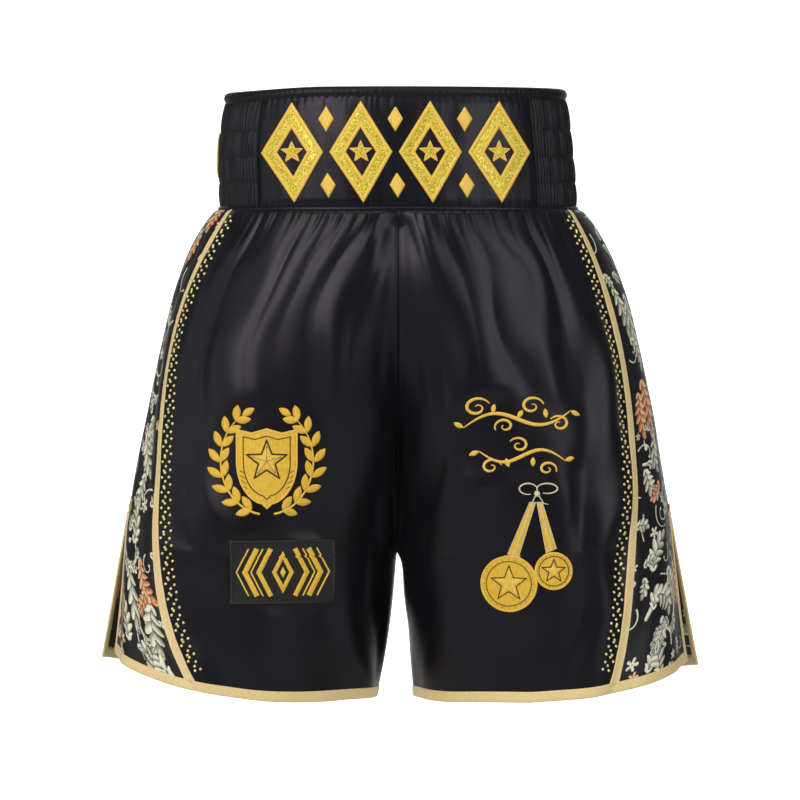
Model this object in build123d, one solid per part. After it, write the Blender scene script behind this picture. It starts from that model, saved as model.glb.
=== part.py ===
"""Boxing shorts: shirred waistband, satin leg panels, printed side panels, gold bindings, studs and motifs.

Millimetres, +Z up, front towards -Y, the wearer's left on +X. The origin is the centre of the waist opening,
level with the seam that joins the waistband to the legs.
"""

import os
from math import acos, asin, atan2, cos, exp, hypot, pi, sin

from build123d import *

# Driving dimensions -------------------------------------------------------------------------------------
WAIST_HALF_WIDTH = 154.5  # outside of the waistband at its lower seam
WAIST_HALF_DEPTH = 104.0
BAND_TOP = 95.0  # top of the shirred part of the waistband
RUFFLE_TOP = 103.5  # top of the narrow gathered hem above it
BAND_PANEL_HALF_WIDTH = 119.0  # flat front and back panels of the waistband, seen from the front
HIP_FLARE = 28.4  # how far the gathers push the legs out under the waistband
HIP_FLARE_DROP = 32.0  # how quickly they do so
LEG_SLOPE = 0.1975  # outward slope of the side below the hips
CROTCH_Z = -296.0
INSIDE_SLOPE = 0.15  # slope of the inside of each leg below the crotch
PARTING_START = 0.2  # how fast the legs part under the waist, and how fast they still do at the crotch
PARTING_END = 0.363  # matched to the inside slope, so that there is no crease at the crotch
HEM_Z = -423.0  # hem at the inside of the leg
HEM_RISE = 32.0  # how much higher the hem is at the side
VENT_TOP_Z = -265.0
VENT_HALF_GAP = 17.0  # half the gap between the vent's edges at the hem
SATIN = 0.8  # fabric thickness
TAPE_WIDTH = 8.5  # gold binding
TAPE = 0.6
SEAM_GAP = 0.15  # each piece stops this far from the seam line
STUD_RADIUS = 1.3
STUD_PITCH = 12.9  # length of one repeat of the stud pattern
SIDE_LIMIT = 400.0  # past the outside of everything
LAYER_GAP = 0.1  # between a fabric face and what is sewn on it

# The seam between a front panel and a side panel, as (height, distance from the middle)
FRONT_SEAM = [(10, 141), (-50, 172), (-110, 191), (-190, 204), (-270, 206), (-340, 201), (-400, 184), (-440, 170)]

NODES = {}


# The shape of the legs -----------------------------------------------------------------------------------
def half_width(z):
    """Distance from the middle to the outside of the leg."""
    drop = max(0.0, -z)
    return WAIST_HALF_WIDTH + HIP_FLARE * (1 - exp(-drop / HIP_FLARE_DROP)) + LEG_SLOPE * drop


def half_depth(z):
    drop = max(0.0, -z)
    return WAIST_HALF_DEPTH + 24 * (1 - exp(-drop / 45)) - 0.07 * drop


def parting(z):
    """How far the two legs have come apart: 0 at the waist seam, 1 at the crotch."""
    t = max(0.0, z / CROTCH_Z)
    return t * t * (3 - 2 * t) + PARTING_END * t * t * (t - 1) + PARTING_START * t * (t - 1) ** 2


def leg_oval(z):
    """(centre, half width, half depth) of a leg's oval. Above the crotch the two ovals merge at the middle."""
    wide = half_width(z)
    if z > CROTCH_Z:
        apart = parting(z)
        return wide * apart / (1 + apart), wide / (1 + apart), half_depth(z)
    inside = INSIDE_SLOPE * (CROTCH_Z - z)
    return (wide + inside) / 2, (wide - inside) / 2, half_depth(z)


def open_angle(z, offset):
    """The angle from the side at which the oval meets the middle plane or the inseam."""
    centre, wide, _ = leg_oval(z)
    return acos(max(-0.9995, min(1.0, -(centre - SEAM_GAP) / (wide + offset))))


def leg_point(z, angle, offset=0.0):
    centre, wide, deep = leg_oval(z)
    return Vector(centre + (wide + offset) * cos(angle), (deep + offset) * sin(angle), z)


def c_wire(outer_arc, inner_arc):
    """A closed wire from two arcs of points that run the same way, evenly spaced so that a loft stays simple."""
    spacing = [i / (len(outer_arc) - 1) for i in range(len(outer_arc))]
    return Wire([
        Edge.make_spline(outer_arc, parameters=spacing),
        Edge.make_line(outer_arc[-1], inner_arc[-1]),
        Edge.make_spline(inner_arc[::-1], parameters=spacing),
        Edge.make_line(inner_arc[0], outer_arc[0]),
    ])


def leg_section(z, outer, inner, count=21):
    arcs = []
    for offset in (outer, inner):
        end = open_angle(z, offset)
        angles = [end * (2 * i / (count - 1) - 1) for i in range(count)]
        arcs.append([leg_point(z, angle, offset) for angle in angles])
    return c_wire(*arcs)


# Closest where the leg curves most: under the waistband and just above the crotch
UPPER_HEIGHTS = [-2, -7, -12, -18, -24, -31, -39, -48, -58, -70, -84, -100, -118, -138, -158, -178, -196, -213,
                 -228, -241, -252, -262, -271, -279, -285, -290, -293.5, CROTCH_Z]
LOWER_HEIGHTS = [CROTCH_Z, -330, -365, -400, HEM_Z - 12]


def leg_shell(outer, inner):
    """One leg of the shorts, from the waist seam to below the hem, between two offsets from its nominal face.

    Ruled between close heights: a smooth loft swings between its sections and loses the fabric's thickness.
    """
    upper = Solid.make_loft([leg_section(z, outer, inner) for z in UPPER_HEIGHTS], ruled=True)
    lower = Solid.make_loft([leg_section(z, outer, inner) for z in LOWER_HEIGHTS], ruled=True)
    return upper.fuse(lower)


# Cutting tools: outlines seen from the front (X, Z) or from the side (Y, Z) ----------------------------------
def front_prism(edges, near, far):
    """The outline, drawn at Y = 0, extruded from Y = near to Y = far."""
    face = Face(Wire(edges)).moved(Location((0, near, 0)))
    return Solid.extrude(face, Vector(0, far - near, 0))


def side_prism(points, near, far):
    face = Face(Wire.make_polygon([Vector(near, y, z) for y, z in points]))
    return Solid.extrude(face, Vector(far - near, 0, 0))


def polygon_prism(points, near, far):
    return front_prism([*Wire.make_polygon([Vector(x, 0, z) for x, z in points]).edges()], near, far)


def seam_x(z):
    """The seam's distance from the middle, by the smooth curve through FRONT_SEAM."""
    return seam_curve.position_at(seam_share(z)).X


def seam_share(z):
    low, high = 0.0, 1.0
    for _ in range(40):
        middle = (low + high) / 2
        low, high = (middle, high) if seam_curve.position_at(middle).Z > z else (low, middle)
    return low


seam_curve = Edge.make_spline([Vector(x, 0, z) for z, x in FRONT_SEAM])


def seam_angle(z, x):
    centre, wide, _ = leg_oval(z)
    return acos(max(-1.0, min(1.0, (x - centre) / wide)))


def across_scale(z, x):
    """How much a short length round the leg shrinks when it is seen from the front."""
    _, wide, deep = leg_oval(z)
    angle = seam_angle(z, x)
    return wide * sin(angle) / hypot(wide * sin(angle), deep * cos(angle))


def seam_line(shift):
    """The seam moved round the leg by a distance, towards the side if positive, as an edge seen from the front."""
    points = []
    for i in range(15):
        z = 8 - i * 32  # from above the waist seam to below the hem
        x = seam_x(z)
        points.append(Vector(x + shift * across_scale(z, x), 0, z))
    return Edge.make_spline(points)


def beyond_seam(shift, towards_side):
    """Everything on one side of the seam, as edges of an outline."""
    line = seam_line(shift)
    far = SIDE_LIMIT if towards_side else -SIDE_LIMIT
    top, low = line @ 0, line @ 1
    return [
        line,
        Edge.make_line(low, Vector(far, 0, low.Z)),
        Edge.make_line(Vector(far, 0, low.Z), Vector(far, 0, top.Z)),
        Edge.make_line(Vector(far, 0, top.Z), top),
    ]


def seam_strip(shift_in, shift_out):
    inner, outer = seam_line(shift_in), seam_line(shift_out)
    return [inner, Edge.make_line(inner @ 1, outer @ 1), outer, Edge.make_line(outer @ 0, inner @ 0)]


def hem_height(x):
    return HEM_Z + HEM_RISE * (abs(x) / 244) ** 3


def above_hem(lift):
    """Everything above the hem line raised by lift."""
    curve = Edge.make_spline([Vector(x, 0, hem_height(x) + lift) for x in range(-20, 301, 32)])
    left, right = curve @ 0, curve @ 1
    return [
        curve,
        Edge.make_line(right, Vector(right.X, 0, 20)),
        Edge.make_line(Vector(right.X, 0, 20), Vector(left.X, 0, 20)),
        Edge.make_line(Vector(left.X, 0, 20), left),
    ]


def behind_vent(inset):
    """The back half of the leg as seen from the side, with the vent's edge and the side seam moved by inset."""
    low = HEM_Z - 20
    gap = VENT_HALF_GAP * (VENT_TOP_Z - low) / (VENT_TOP_Z - HEM_Z)
    return [(inset, 20), (inset, VENT_TOP_Z), (gap + inset, low), (SIDE_LIMIT, low), (SIDE_LIMIT, 20)]


def vent_strip(start, stop):
    """A strip along the back edge of the vent, from start to stop millimetres behind that edge."""
    low = HEM_Z - 20
    gap = VENT_HALF_GAP * (VENT_TOP_Z - low) / (VENT_TOP_Z - HEM_Z)
    return [(start, VENT_TOP_Z), (gap + start, low), (gap + stop, low), (stop, VENT_TOP_Z)]


def keep(*results):
    """The solids of boolean results as one shape, without specks."""
    solids = [s for result in results for s in result.solids() if s.volume > 0.2]
    return solids[0] if len(solids) == 1 else Compound(solids)


def common(shape, *tools):
    """What the shape shares with every one of the tools."""
    for tool in tools:
        shape = keep(*[s.intersect(tool) or ShapeList() for s in shape.solids()])
    return shape


def minus(shape, *tools):
    for tool in tools:
        shape = keep(*[s.cut(tool) for s in shape.solids()])
    return shape


def back_leg(shape):
    """The same piece on the back of the leg, or back from there: the legs are alike front and back."""
    return shape.mirror(Plane.XZ)


def add_pair(name, shape):
    """Adds a piece of the wearer's left leg, on +X, and its mirror image on the right leg."""
    NODES["left_" + name] = shape
    NODES["right_" + name] = shape.mirror(Plane.YZ)


# Leg panels -----------------------------------------------------------------------------------------------
def make_legs():
    satin = leg_shell(0.0, -SATIN)
    back_half = side_prism(behind_vent(SEAM_GAP), -5, SIDE_LIMIT)
    body = common(satin, back_half, front_prism(above_hem(0.0), 0, SIDE_LIMIT))
    middle = common(body, front_prism(beyond_seam(-SEAM_GAP, False), 0, SIDE_LIMIT))
    outer = common(body, front_prism(beyond_seam(SEAM_GAP, True), 0, SIDE_LIMIT))
    add_pair("back_panel", middle)
    add_pair("front_panel", back_leg(middle))
    add_pair("back_side_panel", outer)
    add_pair("front_side_panel", back_leg(outer))


# Gold tape --------------------------------------------------------------------------------------------------
OUTSIDE = (LAYER_GAP + TAPE, LAYER_GAP)  # offsets of a tape's two faces from the outside of the satin
INSIDE = (-SATIN - LAYER_GAP, -SATIN - LAYER_GAP - TAPE)
TAPE_OVER = 0.8  # how far a folded tape stands past the edge it wraps


def loft_sections(sections):
    """A solid through closed outlines that all have the same number of corners."""
    return Solid.make_loft([Wire.make_polygon(section) for section in sections])


def folded(edge, turn):
    """Corners of a tape folded over a fabric edge. turn(run, offset) gives the point run behind the edge."""
    return [
        turn(edge - TAPE_OVER, OUTSIDE[0]), turn(edge + TAPE_WIDTH, OUTSIDE[0]), turn(edge + TAPE_WIDTH, OUTSIDE[1]),
        turn(edge - LAYER_GAP, OUTSIDE[1]), turn(edge - LAYER_GAP, INSIDE[0]), turn(edge + TAPE_WIDTH, INSIDE[0]),
        turn(edge + TAPE_WIDTH, INSIDE[1]), turn(edge - TAPE_OVER, INSIDE[1]),
    ]


def hem_lift(angle):
    """Height of the hem at an angle round the leg."""
    z = HEM_Z
    for _ in range(6):
        z = hem_height(leg_point(z, angle).X)
    return z


def make_bindings():
    seam_sections = []
    for i in range(17):
        z = -2.6 - i * (hem_clearance() - 2.6) / 16
        x = seam_x(z)
        reach = TAPE_WIDTH / 2 * across_scale(z, x)
        sides = [seam_angle(z, x - reach), seam_angle(z, x + reach)]
        seam_sections.append([leg_point(z, sides[0], OUTSIDE[0]), leg_point(z, sides[1], OUTSIDE[0]),
                              leg_point(z, sides[1], OUTSIDE[1]), leg_point(z, sides[0], OUTSIDE[1])])
    seam_tape = loft_sections(seam_sections)
    add_pair("back_seam_binding", seam_tape)
    add_pair("front_seam_binding", back_leg(seam_tape))

    vent_sections = []
    bottom = hem_lift(0.1) + TAPE_WIDTH + 1.0
    for i in range(7):
        z = VENT_TOP_Z + (bottom - VENT_TOP_Z) * i / 6
        edge = SEAM_GAP + VENT_HALF_GAP * (VENT_TOP_Z - z) / (VENT_TOP_Z - HEM_Z)
        if i == 0:
            edge += TAPE_OVER
        vent_sections.append(folded(edge, lambda run, offset: leg_point(z, asin(run / leg_oval(z)[2]), offset)))
    vent_tape = loft_sections(vent_sections)
    add_pair("back_vent_binding", vent_tape)
    add_pair("front_vent_binding", back_leg(vent_tape))

    start = asin((VENT_HALF_GAP + 1.0) / leg_oval(HEM_Z)[2])
    hem_sections = []
    for i in range(33):
        angle = start + (2 * pi - 2 * start) * i / 32
        low = hem_lift(angle)
        edge, above = leg_point(low, angle), leg_point(low + TAPE_WIDTH, angle)
        around = leg_point(low, angle + 0.01) - leg_point(low, angle - 0.01)
        outward = Vector(around.Y, -around.X, 0).normalized()
        lean = (above - edge).dot(outward) / TAPE_WIDTH
        turn = lambda run, offset: edge + outward * (offset + lean * run) + Vector(0, 0, run)
        hem_sections.append(folded(0.0, turn))
    add_pair("hem_binding", loft_sections(hem_sections))

    tack = Box(2.2, 5.0, 7.0).moved(Location(leg_point(VENT_TOP_Z + 4.5, 0.0, 2.0)))
    add_pair("vent_bar_tack", tack)


def hem_clearance():
    """How far down the seam tape runs: it ends on top of the hem tape."""
    return -(hem_height(seam_x(HEM_Z)) + TAPE_WIDTH + 1.0)


# Waistband --------------------------------------------------------------------------------------------------
def band_half_width(z):
    return WAIST_HALF_WIDTH - 8.5 * (max(0.0, z) / RUFFLE_TOP) ** 2.6


def band_half_depth(z):
    return WAIST_HALF_DEPTH - 5.0 * (max(0.0, z) / RUFFLE_TOP) ** 2.6


def band_point(z, angle, offset=0.0):
    return Vector((band_half_width(z) + offset) * cos(angle), (band_half_depth(z) + offset) * sin(angle), z)


def band_ring(heights, outer, inner, count=37):
    """A ring of the waistband, joined at the middle of the back."""
    wires = []
    for z in heights:
        arcs = []
        for offset in (outer, inner):
            gap = SEAM_GAP / (band_half_width(z) + offset)
            start, turn = pi / 2 + gap, 2 * pi - 2 * gap
            arcs.append([band_point(z, start + turn * i / (count - 1), offset) for i in range(count)])
        wires.append(c_wire(*arcs))
    return Solid.make_loft(wires)


BAND_HEIGHTS = [2.0, 30.0, 62.0, BAND_TOP]
PADDING = 2.4  # soft interlining under the flat front and back panels
ELASTIC = 1.6
PANEL = BAND_PANEL_HALF_WIDTH


def rectangle(x0, x1, z0, z1):
    return [(x0, z0), (x1, z0), (x1, z1), (x0, z1)]


def make_waistband():
    satin = band_ring(BAND_HEIGHTS, 0.0, -SATIN)
    padding = band_ring(BAND_HEIGHTS, -SATIN - LAYER_GAP, -SATIN - LAYER_GAP - PADDING)
    elastic_face = -SATIN - PADDING - 2 * LAYER_GAP
    middle = rectangle(-PANEL + SEAM_GAP, PANEL - SEAM_GAP, -5, BAND_TOP + 5)
    stuffing = rectangle(-PANEL + 6, PANEL - 6, 5, BAND_TOP - 4)
    for name, near, far in (("front", -SIDE_LIMIT, 0), ("back", 0, SIDE_LIMIT)):
        NODES[f"waistband_{name}_panel"] = common(satin, polygon_prism(middle, near, far))
        NODES[f"waistband_{name}_padding"] = common(padding, polygon_prism(stuffing, near, far))
    side = rectangle(PANEL + SEAM_GAP, SIDE_LIMIT, -5, BAND_TOP + 5)
    add_pair("waistband_shirring", common(satin, polygon_prism(side, -SIDE_LIMIT, SIDE_LIMIT)))
    NODES["waistband_elastic"] = band_ring([4.0, 30.0, 62.0, BAND_TOP - 3], elastic_face, elastic_face - ELASTIC)
    lining_face = elastic_face - ELASTIC - LAYER_GAP
    NODES["waistband_lining"] = band_ring(BAND_HEIGHTS, lining_face, lining_face - SATIN)
    NODES["waistband_top_ruffle"] = band_ring([BAND_TOP + 0.3, BAND_TOP + 4, RUFFLE_TOP], 0.6, lining_face - SATIN)
    NODES["waist_seam_welt"] = band_ring([-1.7, 1.7], 1.6, lining_face - SATIN)


# Motifs, seen from the front ----------------------------------------------------------------------------------
def star(cx, cz, radius, points=5, waist=0.42):
    corners = []
    for i in range(2 * points):
        angle = pi / 2 + i * pi / points
        reach = radius if i % 2 == 0 else radius * waist
        corners.append((cx + reach * cos(angle), cz + reach * sin(angle)))
    return corners


def lozenge(cx, cz, half_width_, half_height):
    return [(cx - half_width_, cz), (cx, cz - half_height), (cx + half_width_, cz), (cx, cz + half_height)]


def circle(cx, cz, radius, count=28):
    return [(cx + radius * cos(2 * pi * i / count), cz + radius * sin(2 * pi * i / count)) for i in range(count)]


def leaf(cx, cz, angle, length, width):
    """A pointed leaf from (cx, cz) along the angle."""
    outline = []
    for i in range(12):
        t = i / 12 * 2
        along, side = (t, 1) if t <= 1 else (2 - t, -1)
        swell = side * width / 2 * sin(pi * along) ** 0.8 if 0 < along < 1 else 0.0
        outline.append((cx + length * along * cos(angle) - swell * sin(angle),
                        cz + length * along * sin(angle) + swell * cos(angle)))
    return outline


def stroke(points, widths):
    """A ribbon of varying width along a line of points, as a closed outline."""
    left, right = [], []
    for i, (x, z) in enumerate(points):
        x0, z0 = points[max(0, i - 1)]
        x1, z1 = points[min(len(points) - 1, i + 1)]
        turn = atan2(z1 - z0, x1 - x0)
        half = widths[i] / 2
        left.append((x - half * sin(turn), z + half * cos(turn)))
        right.append((x + half * sin(turn), z - half * cos(turn)))
    return left + right[::-1]


def sewn_on(layer, outlines, holes=()):
    """The part of a layer in front of the body that lies inside the outlines and outside the holes."""
    cutters = [polygon_prism(hole, -SIDE_LIMIT - 1, 1) for hole in holes]
    return keep(*[common(layer, minus(polygon_prism(outline, -SIDE_LIMIT, 0), *cutters)) for outline in outlines])


MOTIF_PITCH = 58.0
MOTIF_Z = 48.0
MOTIF_HALF = (26.5, 43.5)  # half width and half height of a lozenge
MOTIF_STROKE = 0.47  # hole over outline
BORDER = 2.6  # width of the satin-stitched edge
ACCENT_HALF = (6.5, 11.0)  # small solid lozenges between the large ones
ACCENT_RISE = 28.0
SIDE_BADGE_RADIUS = 22.0
SIDE_BADGE_BACK = 14.0
EMBLEM_SHARE = 0.58  # a star's radius over that of the disc that it stands on


def make_waist_motifs():
    glitter = band_ring([0.0, 30.0, 62.0, 97.0], LAYER_GAP + 0.7, LAYER_GAP)
    edging = band_ring([0.0, 30.0, 62.0, 97.0], LAYER_GAP + 1.4, LAYER_GAP)
    wide, high = MOTIF_HALF
    slant = hypot(wide, high) / (wide * high)  # turns an edge width into a share of the lozenge
    accent_wide, accent_high = ACCENT_HALF
    for i in range(4):
        x = (i - 1.5) * MOTIF_PITCH
        sizes = [1.0, 1.0 - BORDER * slant, MOTIF_STROKE + BORDER * slant, MOTIF_STROKE]
        outer, face_outer, face_inner, hole = [lozenge(x, MOTIF_Z, wide * k, high * k) for k in sizes]
        star_edge, star_face = star(x, MOTIF_Z, 9.5), star(x, MOTIF_Z, 6.5)
        face = sewn_on(glitter, [face_outer], [face_inner]).solids() + sewn_on(glitter, [star_face]).solids()
        border = (sewn_on(edging, [outer], [face_outer]).solids() + sewn_on(edging, [face_inner], [hole]).solids()
                  + sewn_on(edging, [star_edge], [star_face]).solids())
        if i < 3:
            between = [lozenge(x + MOTIF_PITCH / 2, MOTIF_Z + rise, accent_wide, accent_high)
                       for rise in (-ACCENT_RISE, ACCENT_RISE)]
            border += sewn_on(edging, between).solids()
        NODES[f"front_motif_{i + 1}_glitter"] = keep(*face)
        NODES[f"front_motif_{i + 1}_edging"] = keep(*border)
        NODES[f"back_motif_{i + 1}"] = keep(*[s.mirror(Plane.XZ) for s in face + border])

    # A round badge on the wearer's right side of the waistband, a little behind the middle
    disc = circle(SIDE_BADGE_BACK, MOTIF_Z, SIDE_BADGE_RADIUS)
    hole = circle(SIDE_BADGE_BACK, MOTIF_Z, SIDE_BADGE_RADIUS - 2 * BORDER)
    emblem = star(SIDE_BADGE_BACK, MOTIF_Z, SIDE_BADGE_RADIUS * EMBLEM_SHARE)
    ring = minus(common(edging, side_prism(disc, -SIDE_LIMIT, 0)), side_prism(hole, -SIDE_LIMIT, 0))
    NODES["right_side_badge"] = keep(ring, common(edging, side_prism(emblem, -SIDE_LIMIT, 0)))


def crest_outline(cx, cz):
    """A heater shield."""
    top = [(cx - 26, cz + 30), (cx - 13, cz + 27), (cx, cz + 31), (cx + 13, cz + 27), (cx + 26, cz + 30)]
    right = [(cx + 26 * cos(a), cz + 2 - 40 * sin(a)) for a in (0.0, 0.35, 0.7, 1.05, 1.35)]
    left = [(2 * cx - x, z) for x, z in right[::-1]]
    return top + right + [(cx, cz - 40)] + left


def laurel(cx, cz, side):
    """Leaves that rise round one side of the crest."""
    leaves = []
    for i in range(8):
        turn = -1.25 + i * 0.3
        x, z = cx + side * 40 * cos(turn), cz + 3 + 44 * sin(turn)
        lean = turn + pi / 2
        for spread in (-0.62, 0.62):
            angle = lean + spread
            leaves.append(leaf(x, z, angle if side > 0 else pi - angle, 14, 5.6))
    return leaves


def scroll(cx, cz, size, turns, flip, wide):
    """A spiral that opens into a tail."""
    count = 26
    points, widths = [], []
    for i in range(count):
        t = i / (count - 1)
        angle = turns * 2 * pi * (1 - t)
        reach = size * (0.22 + 0.78 * t)
        points.append((cx + flip * reach * cos(angle), cz + reach * 0.72 * sin(angle)))
        widths.append(wide * (0.45 + 0.9 * sin(pi * t)))
    return points, widths


def swash(x0, z0, x1, z1, rise, wide):
    """A long S-shaped pen stroke."""
    count = 18
    points, widths = [], []
    for i in range(count):
        t = i / (count - 1)
        points.append((x0 + (x1 - x0) * t, z0 + (z1 - z0) * t + rise * sin(2 * pi * t)))
        widths.append(wide * (0.35 + sin(pi * t)))
    return points, widths


def plate(outline, thickness, offset):
    """A small flat piece, drawn from the front, laid on the front of the left leg with its middle at that offset."""
    x = sum(p[0] for p in outline) / len(outline)
    z = sum(p[1] for p in outline) / len(outline)
    angle = -seam_angle(z, x)
    centre, wide, deep = leg_oval(z)
    across = Vector(-wide * sin(angle), deep * cos(angle), 0).normalized()
    down = (leg_point(z - 1, -seam_angle(z - 1, x)) - leg_point(z + 1, -seam_angle(z + 1, x))).normalized()
    normal = across.cross(down).normalized()
    normal = normal if normal.Y < 0 else -normal
    middle = leg_point(z, angle) + normal * offset
    corners = [middle + across * ((px - x) / across.X) + down * ((pz - z) / down.Z) for px, pz in outline]
    face = Face(Wire.make_polygon(corners))
    return Solid.extrude(face, normal * thickness)


def leg_layer(outline, outer, inner):
    """A thin layer over the front of the left leg, a little larger than the outline."""
    xs, zs = [p[0] for p in outline], [p[1] for p in outline]
    low, high = min(zs) - 4, max(zs) + 4
    heights = [high + (low - high) * i / 6 for i in range(7)]
    wires = []
    for z in heights:
        start, stop = -seam_angle(z, min(xs) - 4), -seam_angle(z, max(xs) + 4)
        angles = [start + (stop - start) * i / 8 for i in range(9)]
        wires.append(c_wire(*[[leg_point(z, angle, offset) for angle in angles] for offset in (outer, inner)]))
    return Solid.make_loft(wires)


def patch_of(outline, faces, holes=()):
    """What is sewn on the front of the left leg inside the outline and outside the holes."""
    return sewn_on(leg_layer(outline, *faces), [outline], holes)


def ribbon(line, faces):
    """A stroke laid on the front of the left leg: line is (points, widths), faces its two offsets."""
    outline = stroke(*line)
    count = len(line[0])
    half = (faces[0] - faces[1]) / 2
    sections = []
    for i in range(count):
        corners = (outline[i], outline[2 * count - 1 - i])
        ends = [leg_point(z, -seam_angle(z, x), faces[1] + half) for x, z in corners]
        middle = (ends[0] + ends[1]) / 2
        angle = -seam_angle(middle.Z, middle.X)
        around = leg_point(middle.Z, angle + 0.01) - leg_point(middle.Z, angle - 0.01)
        outward = Vector(around.Y, -around.X, 0).normalized() * half
        sections.append([ends[0] + outward, ends[1] + outward, ends[1] - outward, ends[0] - outward])
    return loft_sections(sections)


def make_leg_motifs():
    thread = (LAYER_GAP + 1.0, LAYER_GAP + 0.1)
    backing = (LAYER_GAP + 0.7, LAYER_GAP + 0.1)
    raised = (LAYER_GAP + 1.9, LAYER_GAP + 1.0)

    def right_leg(shape):
        return shape.mirror(Plane.YZ)

    x, z = 110.0, -212.0
    NODES["right_leg_crest"] = right_leg(patch_of(crest_outline(x, z), thread, [star(x, z, 17)]))
    NODES["right_leg_laurel"] = right_leg(keep(*[plate(o, 0.7, 0.45) for o in laurel(x, z, 1) + laurel(x, z, -1)]))

    x, z, wide, high = 97.0, -311.0, 44.0, 27.0
    frame_outer = rectangle(x - wide, x + wide, z - high, z + high)
    frame_inner = rectangle(x - wide + 3, x + wide - 3, z - high + 3, z + high - 3)
    NODES["right_leg_patch"] = right_leg(patch_of(frame_outer, backing))
    NODES["right_leg_patch_edging"] = right_leg(patch_of(frame_outer, raised, [frame_inner]))
    bars = [patch_of(lozenge(x, z, 9, 17), raised)]
    for side in (1, -1):
        for step in (13, 22, 31):
            line = [(x + side * (step + 2), z + 20), (x + side * (step + 12), z), (x + side * (step + 2), z - 20)]
            bars.append(ribbon(split_line(line, 4), raised))
    NODES["right_leg_patch_bars"] = right_leg(keep(*bars))

    x, z = 100.0, -181.0
    upper = [swash(x - 46, z - 4, x + 46, z + 4, 9, 3.4), scroll(x - 32, z + 12, 11, 1.2, 1, 2.6),
             scroll(x + 33, z - 10, 10, 1.2, -1, 2.6)]
    NODES["left_leg_flourish_upper"] = keep(*[ribbon(line, thread) for line in upper])
    x, z = 104.0, -213.0
    lower = [swash(x - 34, z + 3, x + 36, z - 2, -8, 3.2), scroll(x - 22, z - 11, 9, 1.2, 1, 2.4),
             scroll(x + 24, z + 11, 9, 1.2, -1, 2.4)]
    NODES["left_leg_flourish_lower"] = keep(*[ribbon(line, thread) for line in lower])

    x, z = 110.0, -240.0
    ribbons = [[(x - 1, z - 10), (x + 5, z - 10), (x - 9, z - 57), (x - 19, z - 53)],
               [(x + 6.5, z - 10), (x + 11, z - 10), (x + 23, z - 50), (x + 13, z - 54)]]
    bow = [leaf(x + 5, z - 5, 2.6, 13, 7), leaf(x + 6, z - 5, 0.5, 15, 7)]
    NODES["left_leg_ribbons"] = keep(*[patch_of(outline, thread) for outline in ribbons + bow])
    medals = [(x - 17, z - 81, 23.0), (x + 20.5, z - 70, 15.5)]
    discs = [patch_of(circle(cx, cz, radius), thread, [star(cx, cz, radius * EMBLEM_SHARE)])
             for cx, cz, radius in medals]
    NODES["left_leg_medals"] = keep(*discs)


def split_line(corners, width, steps=5):
    """(points, widths) of an evenly wide stroke along straight runs between corners."""
    points = [corners[0]]
    for (x0, z0), (x1, z1) in zip(corners, corners[1:]):
        points += [(x0 + (x1 - x0) * k / steps, z0 + (z1 - z0) * k / steps) for k in range(1, steps + 1)]
    return points, [width] * len(points)


# Studs ----------------------------------------------------------------------------------------------------------
# One repeat of the pattern: (distance along the seam, distance from the tape's edge towards the middle)
STUD_PATTERN = [(0.0, 4.2), (3.6, 7.2), (3.6, 1.9), (7.2, 4.9), (9.8, 8.0), (11.3, 3.6)]


def stud_places():
    """(height, angle round the leg) of each stud on a left back seam."""
    places = []
    for i in range(int((-12 - (HEM_Z + 24)) / STUD_PITCH)):
        for along, across in STUD_PATTERN:
            z = -9 - i * STUD_PITCH - along
            x = seam_x(z)
            scale = across_scale(z, x)
            places.append((z, seam_angle(z, x - (TAPE_WIDTH / 2 + across) * scale)))
    return places


def make_studs():
    flat = STUD_RADIUS * 0.55  # how far above the sphere's centre the dome is cut
    dome = minus(Sphere(STUD_RADIUS * 1.15), Box(4, 4, 4).moved(Location((0, 0, flat - 2))))
    dome = dome.moved(Location((0, 0, -flat)))
    studs = []
    for z, angle in stud_places():
        place = leg_point(z, angle)
        along = leg_point(z - 1, angle) - leg_point(z + 1, angle)
        around = leg_point(z, angle + 0.01) - leg_point(z, angle - 0.01)
        normal = around.cross(along).normalized()
        if normal.Y < 0:
            normal = -normal
        face = Plane(origin=place + normal * 0.12, z_dir=normal)
        studs.append(dome.moved(face.location))
    group = Compound(studs)
    add_pair("back_studs", group)
    add_pair("front_studs", back_leg(group))


make_legs()
make_bindings()
make_waistband()
make_waist_motifs()
make_leg_motifs()
make_studs()

os.makedirs("parts", exist_ok=True)
for node, shape in NODES.items():
    export_step(shape, f"parts/{node}.step")
print(len(NODES), "nodes")
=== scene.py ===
from math import acos, cos, hypot, pi, sin, sqrt, tau

import bmesh
import bpy
import numpy as np
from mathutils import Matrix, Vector
from mathutils.geometry import delaunay_2d_cdt


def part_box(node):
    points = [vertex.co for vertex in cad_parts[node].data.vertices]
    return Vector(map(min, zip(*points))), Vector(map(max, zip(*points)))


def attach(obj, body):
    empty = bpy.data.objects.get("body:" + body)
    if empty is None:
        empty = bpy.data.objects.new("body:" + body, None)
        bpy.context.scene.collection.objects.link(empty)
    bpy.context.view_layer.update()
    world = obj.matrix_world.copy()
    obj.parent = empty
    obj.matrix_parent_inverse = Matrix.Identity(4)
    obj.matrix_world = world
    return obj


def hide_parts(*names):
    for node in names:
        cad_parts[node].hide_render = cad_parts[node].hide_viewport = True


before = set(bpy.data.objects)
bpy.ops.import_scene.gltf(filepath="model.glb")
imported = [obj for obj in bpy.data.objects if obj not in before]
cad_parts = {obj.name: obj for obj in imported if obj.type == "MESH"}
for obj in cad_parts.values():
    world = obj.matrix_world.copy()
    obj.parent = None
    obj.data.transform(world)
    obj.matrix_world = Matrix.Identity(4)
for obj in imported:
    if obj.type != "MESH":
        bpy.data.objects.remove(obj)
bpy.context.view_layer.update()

MM = 0.001  # the shapes below are worked out in millimetres
BODY = "root"

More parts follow.
